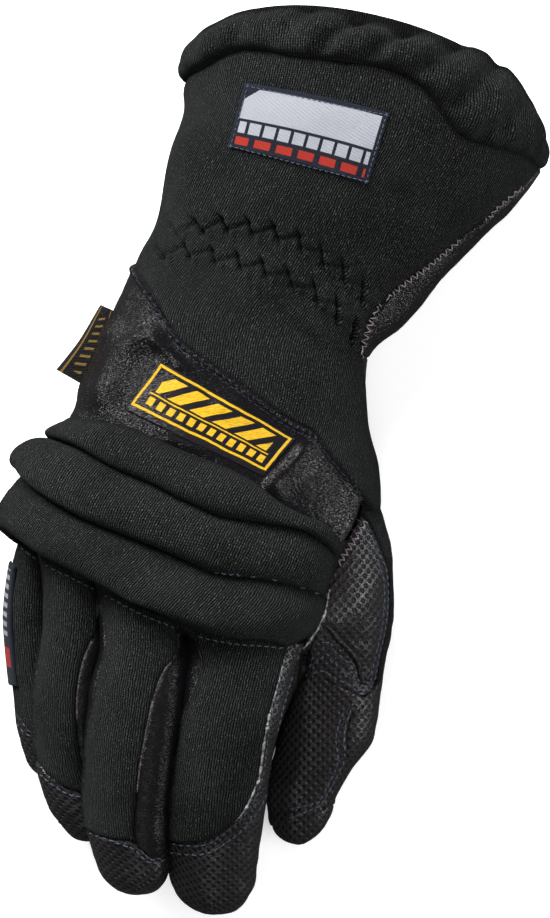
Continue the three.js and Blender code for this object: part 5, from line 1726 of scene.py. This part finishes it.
def stitches(name, rows, length=1.9, pitch=2.6, width=0.5, material=THREAD, slot="label_dark", turn=0.0,
             zigzag=False):
    """Several rows of stitches as one object; each row is (pieces, line). A turn slants every stitch, or every
    other one the other way in a zigzag."""
    at, way, normal = (np.concatenate(part) for part in zip(*(row_of(names, line, pitch) for names, line in rows)))
    a = np.radians(turn) * (np.where(np.arange(len(at)) % 2, 1, -1) if zigzag else np.ones(len(at)))[:, None]
    way = way * np.cos(a) + np.cross(normal, way) * np.sin(a)
    rng = np.random.default_rng(len(name))
    way = unit(way + 0.12 * np.cross(normal, way) * rng.standard_normal((len(at), 1)))
    bars(name, at, way, normal, length, width, material, slot)


def beside(line, distance):
    """A line on the plan moved sideways, to its right where the distance is positive."""
    line = smooth_line(line, 1.5)
    way = unit(np.gradient(line, axis=0))
    return line + distance * np.stack([way[:, 1], -way[:, 0]], -1)


def plan_of(kind, degrees, section):
    """Where the camera sees points of a surface."""
    return seen(SURFACES[kind](np.array(degrees, float), np.array(section, float)))


KNITS = [name + "_back" for name in FINGERS]
tips = {name: np.array(rows["tip"], float) for name, rows in FINGER_SEAMS.items()}
index_right = np.array(FINGER_SEAMS["index"]["right"], float)
index_tip_line = plan_of("index", *tips["index"][:5].T)
index_edge = np.concatenate([plan_of("index", *index_right.T[::-1]), index_tip_line[-2::-1]])
rows = [(KNITS, beside(KNUCKLE_LINE, 2.4))]
rows += [(["index_tip", "index_front"], beside(index_edge, -far)) for far in (1.3, 4.4)]
rows += [([name + "_tip"], beside(plan_of(name, *tips[name].T), 1.6)) for name in ("middle", "ring", "pinky")]
stitches("finger_stitches", rows)

# %% [markdown]
# The gauntlet's leather is whip-stitched to the knit in a light thread, and so is the gusset to the panel. The
# thumb has double rows of navy thread beside its seams, and three rows across its saddle.

# %% More stitches
over, along = np.linspace(15, 134, 14), np.linspace(0.15, 3.3, 12)  # degrees across the saddle, sections of the gusset
down, cap = np.linspace(3.9, 7.0, 14), np.linspace(70, 128, 7)  # sections down the thumb, degrees round its tip
rows = [(["thumb_saddle"], plan_of("thumb", over, piping(over) + share * (saddle(over) - piping(over))))
        for share in (0.3, 0.55, 0.85)]
rows += [(["gusset"], plan_of("thumb", thumb_inner(along) - inset, along)) for inset in (5, 13)]
rows += [(["thumb_back", "thumb_saddle"], plan_of("thumb", thumb_inner(down) - inset, down)) for inset in (5, 14)]
rows += [(["thumb_back", "thumb_tip"], plan_of("thumb", cap, thumb_cap(cap) - up)) for up in (0.1, 0.25)]
stitches("thumb_stitches", rows)
stitches("panel_stitches", [(["back_panel"], beside(PANEL_LINE, far)) for far in (1.6, 3.0)], material=DARK_THREAD)
stitches("roll_stitches", [(["roll_middle", "roll_lower"], ROLL_LINES[2][-5:])])
LABEL_EDGE = np.array([(-9.6, 130.8), (39, 120.7), (31.9, 97.4), (-15.5, 109.8), (-9.6, 130.8)])
stitches("label_stitches", [
    (["cuff_label"], [start, (start + end) / 2, end]) for start, end in zip(LABEL_EDGE[:-1], LABEL_EDGE[1:])
], length=1.5, pitch=2.0, width=0.35)
WHIP = {"width": 0.5, "material": LIGHT_THREAD, "slot": "leather", "turn": 62, "zigzag": True}
stitches("whip_stitches", [(["gusset", "back_panel", "roll_upper"], [(33.5, -19), (28.5, -27), (22.5, -36)])],
         length=2.7, pitch=1.15, **WHIP)
stitches("side_whip_stitches", [(["gauntlet_palm", "gauntlet_back"], [(86.5, 95.5), *GAUNTLET_SIDE_LINE[1:]])],
         length=3.0, pitch=1.3, **WHIP)

# %% [markdown]
# ## Piping, welts and raw edges
# These are tubes: a circle carried along a line, each with its own radius at every point. The raw edge of the
# cloth is a thin uneven tube with short fibres standing off it.

# %% Tubes along seams


def tube(name, line, normal, radius, material, sides=8):
    """A closed tube: a circle round each point, in the plane of the normal and the line's sideways direction."""
    way = unit(np.gradient(line, axis=0))
    side = unit(np.cross(normal, way))
    up = np.cross(way, side)
    around = np.arange(sides) * 2 * np.pi / sides
    radius = np.broadcast_to(radius, len(line))[:, None, None]
    ring = np.cos(around)[None, :, None] * side[:, None] + np.sin(around)[None, :, None] * up[:, None]
    points = line[:, None] + ring * radius
    numbers = np.arange(points[..., 0].size).reshape(points.shape[:2])
    loop = np.concatenate([numbers, numbers[:, :1]], 1)
    run = np.broadcast_to(lengths(line, 0)[:, None], numbers.shape)
    uv = np.stack([np.broadcast_to(around, numbers.shape), run], -1).reshape(-1, 2)
    made = mesh_object(name, points.reshape(-1, 3), [grid_faces(loop), numbers[:1], numbers[-1:, ::-1]], material, uv,
                       [True, False, False])
    return made


def laid(names, line, step, lift):
    """A line on the plan laid on pieces, with its normals, lifted off them."""
    at, normal, _ = lying(names, smooth_line(line, step))
    at = np.stack([softened(np.stack([at[:, k]] * 3), 6)[1] for k in range(3)], -1)
    return at + normal * lift, normal


def tapered(count, thick, ends=6):
    """A radius along a tube that shrinks to almost nothing at both ends."""
    k = np.arange(count)
    return thick * np.clip(np.minimum(k, count - 1 - k) / ends, 0.08, 1) ** 0.5


degrees = np.linspace(52, 133, 80)
line = thumb(degrees, piping(degrees))
normal = outward(thumb, degrees, piping(degrees))
tube("thumb_piping", line + normal * 0.45, normal, tapered(80, 0.85), SMOOTH_LEATHER)

forks = [("index", "left", 0.75), ("middle", "right", 0.75), ("middle", "left", 0.6), ("ring", "right", 0.6)]
for name, side, share in forks:
    grid, normals = OUTSIDES[name + "_back"]
    column = 0 if side == "left" else -1
    count = int(len(grid) * share)
    line, normal = grid[:count:2, column], normals[:count:2, column]
    normal = unit(normal * np.sign(normal[:, 2:]))
    radius = tapered(len(line), 0.62) * (1 + 0.35 * noise(lengths(line, 0), np.zeros(len(line)), 1.6, len(name)))
    tube(f"{name}_{side}_welt", line + normal * 0.25, normal, radius, WELT_LEATHER, 6)


FIBRE = 0.12  # millimetres from a fibre's middle to its corners at its root


def raw_edge(name, line, normal, thick, hairs, seed):
    """An uneven tube, thickest past its middle, with fibres: thin three-sided spikes in random directions."""
    rng = np.random.default_rng(seed)
    run = lengths(line, 0)
    share = run / run[-1]
    full = 0.45 + 0.55 * smoothstep(share, 0.1, 0.5) * (1 - smoothstep(share, 0.8, 1.0))
    sideways = unit(np.cross(normal, unit(np.gradient(line, axis=0))))
    line = line + sideways * (0.35 * layered(run, np.zeros(len(line)), 2.6, seed + 2) * full)[:, None]
    radius = thick * full * (1 + 0.6 * noise(run, np.zeros(len(line)), 1.1, seed)) * tapered(len(line), 1.0)
    body = tube(name, line, normal, radius, RAW_EDGE, 6)
    pick = rng.integers(2, len(line) - 2, hairs)
    way = unit(np.gradient(line, axis=0))[pick]
    side = unit(np.cross(normal[pick], way))
    turn = rng.uniform(-0.4, np.pi + 0.4, (hairs, 1))
    lean = rng.uniform(-0.9, 0.9, (hairs, 1))
    aim = unit(side * np.cos(turn) + normal[pick] * np.sin(turn) * 0.8 + way * lean)
    base = line[pick] + way * rng.uniform(-0.3, 0.3, (hairs, 1))
    tip = base + aim * rng.uniform(0.5, 1.5, (hairs, 1)) * (0.4 + 0.6 * full[pick][:, None])
    across = unit(np.cross(aim, way + 0.01)) * FIBRE
    over = unit(np.cross(aim, across)) * FIBRE
    corner = np.stack([base + across, base - 0.5 * across + 0.87 * over, base - 0.5 * across - 0.87 * over, tip], 1)
    start = 4 * np.arange(hairs)[:, None]
    faces = np.concatenate([start + f for f in ([0, 1, 3], [1, 2, 3], [2, 0, 3], [0, 2, 1])])
    spikes = mesh_object(name + "_fibres", corner.reshape(-1, 3), [faces], RAW_EDGE, np.zeros((4 * hairs, 2)))
    joined(body, spikes)
    print(name, hairs, "fibres")


grid, normals = OUTSIDES["index_back"]
line = np.concatenate([grid[12::2, -1], grid[-1, -2:-36:-2]])
normal = np.concatenate([normals[12::2, -1], normals[-1, -2:-36:-2]])
normal = unit(normal * np.sign(normal[:, 2:]) + UP)
raw_edge("index_raw_edge", line - normal * 0.1, normal, 0.62, 1600, 5)
line, normal = laid(["roll_middle", "roll_lower", "index_back"],
                    [(19, -44.5), (16.8, -55), (11.5, -64), (9, -66.5)], 0.5, 0.2)
raw_edge("roll_raw_edge", line, normal, 0.34, 220, 6)

# %% [markdown]
# ## Cut sizes
# Each piece's cut size is printed: the one measured over the form between its seams, before folds and
# gathers, as a pattern is taken from a dress form; the gathered ones were cut longer. The knuckle rolls, which
# are padded, are left out.

# %% Cut sizes of the pieces
# millimetres, the narrowest cut size that can be declared
NARROWEST = 10  # millimetres, the least cut size; narrower ones are printed as this
for name, made in PIECES.items():
    if name.startswith("roll"):
        continue
    wide, long, area = FLATS[name]
    wide, long = max(wide, NARROWEST), max(long, NARROWEST)
    print(f"{name}: cut {wide:.0f} x {long:.0f} mm")

# %% The pieces with the most triangles
bpy.context.view_layer.update()
for made in sorted(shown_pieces(), key=lambda made: -len(made.data.loops))[:4]:
    print(made.name, len(made.data.loops) - 2 * len(made.data.polygons), "triangles")
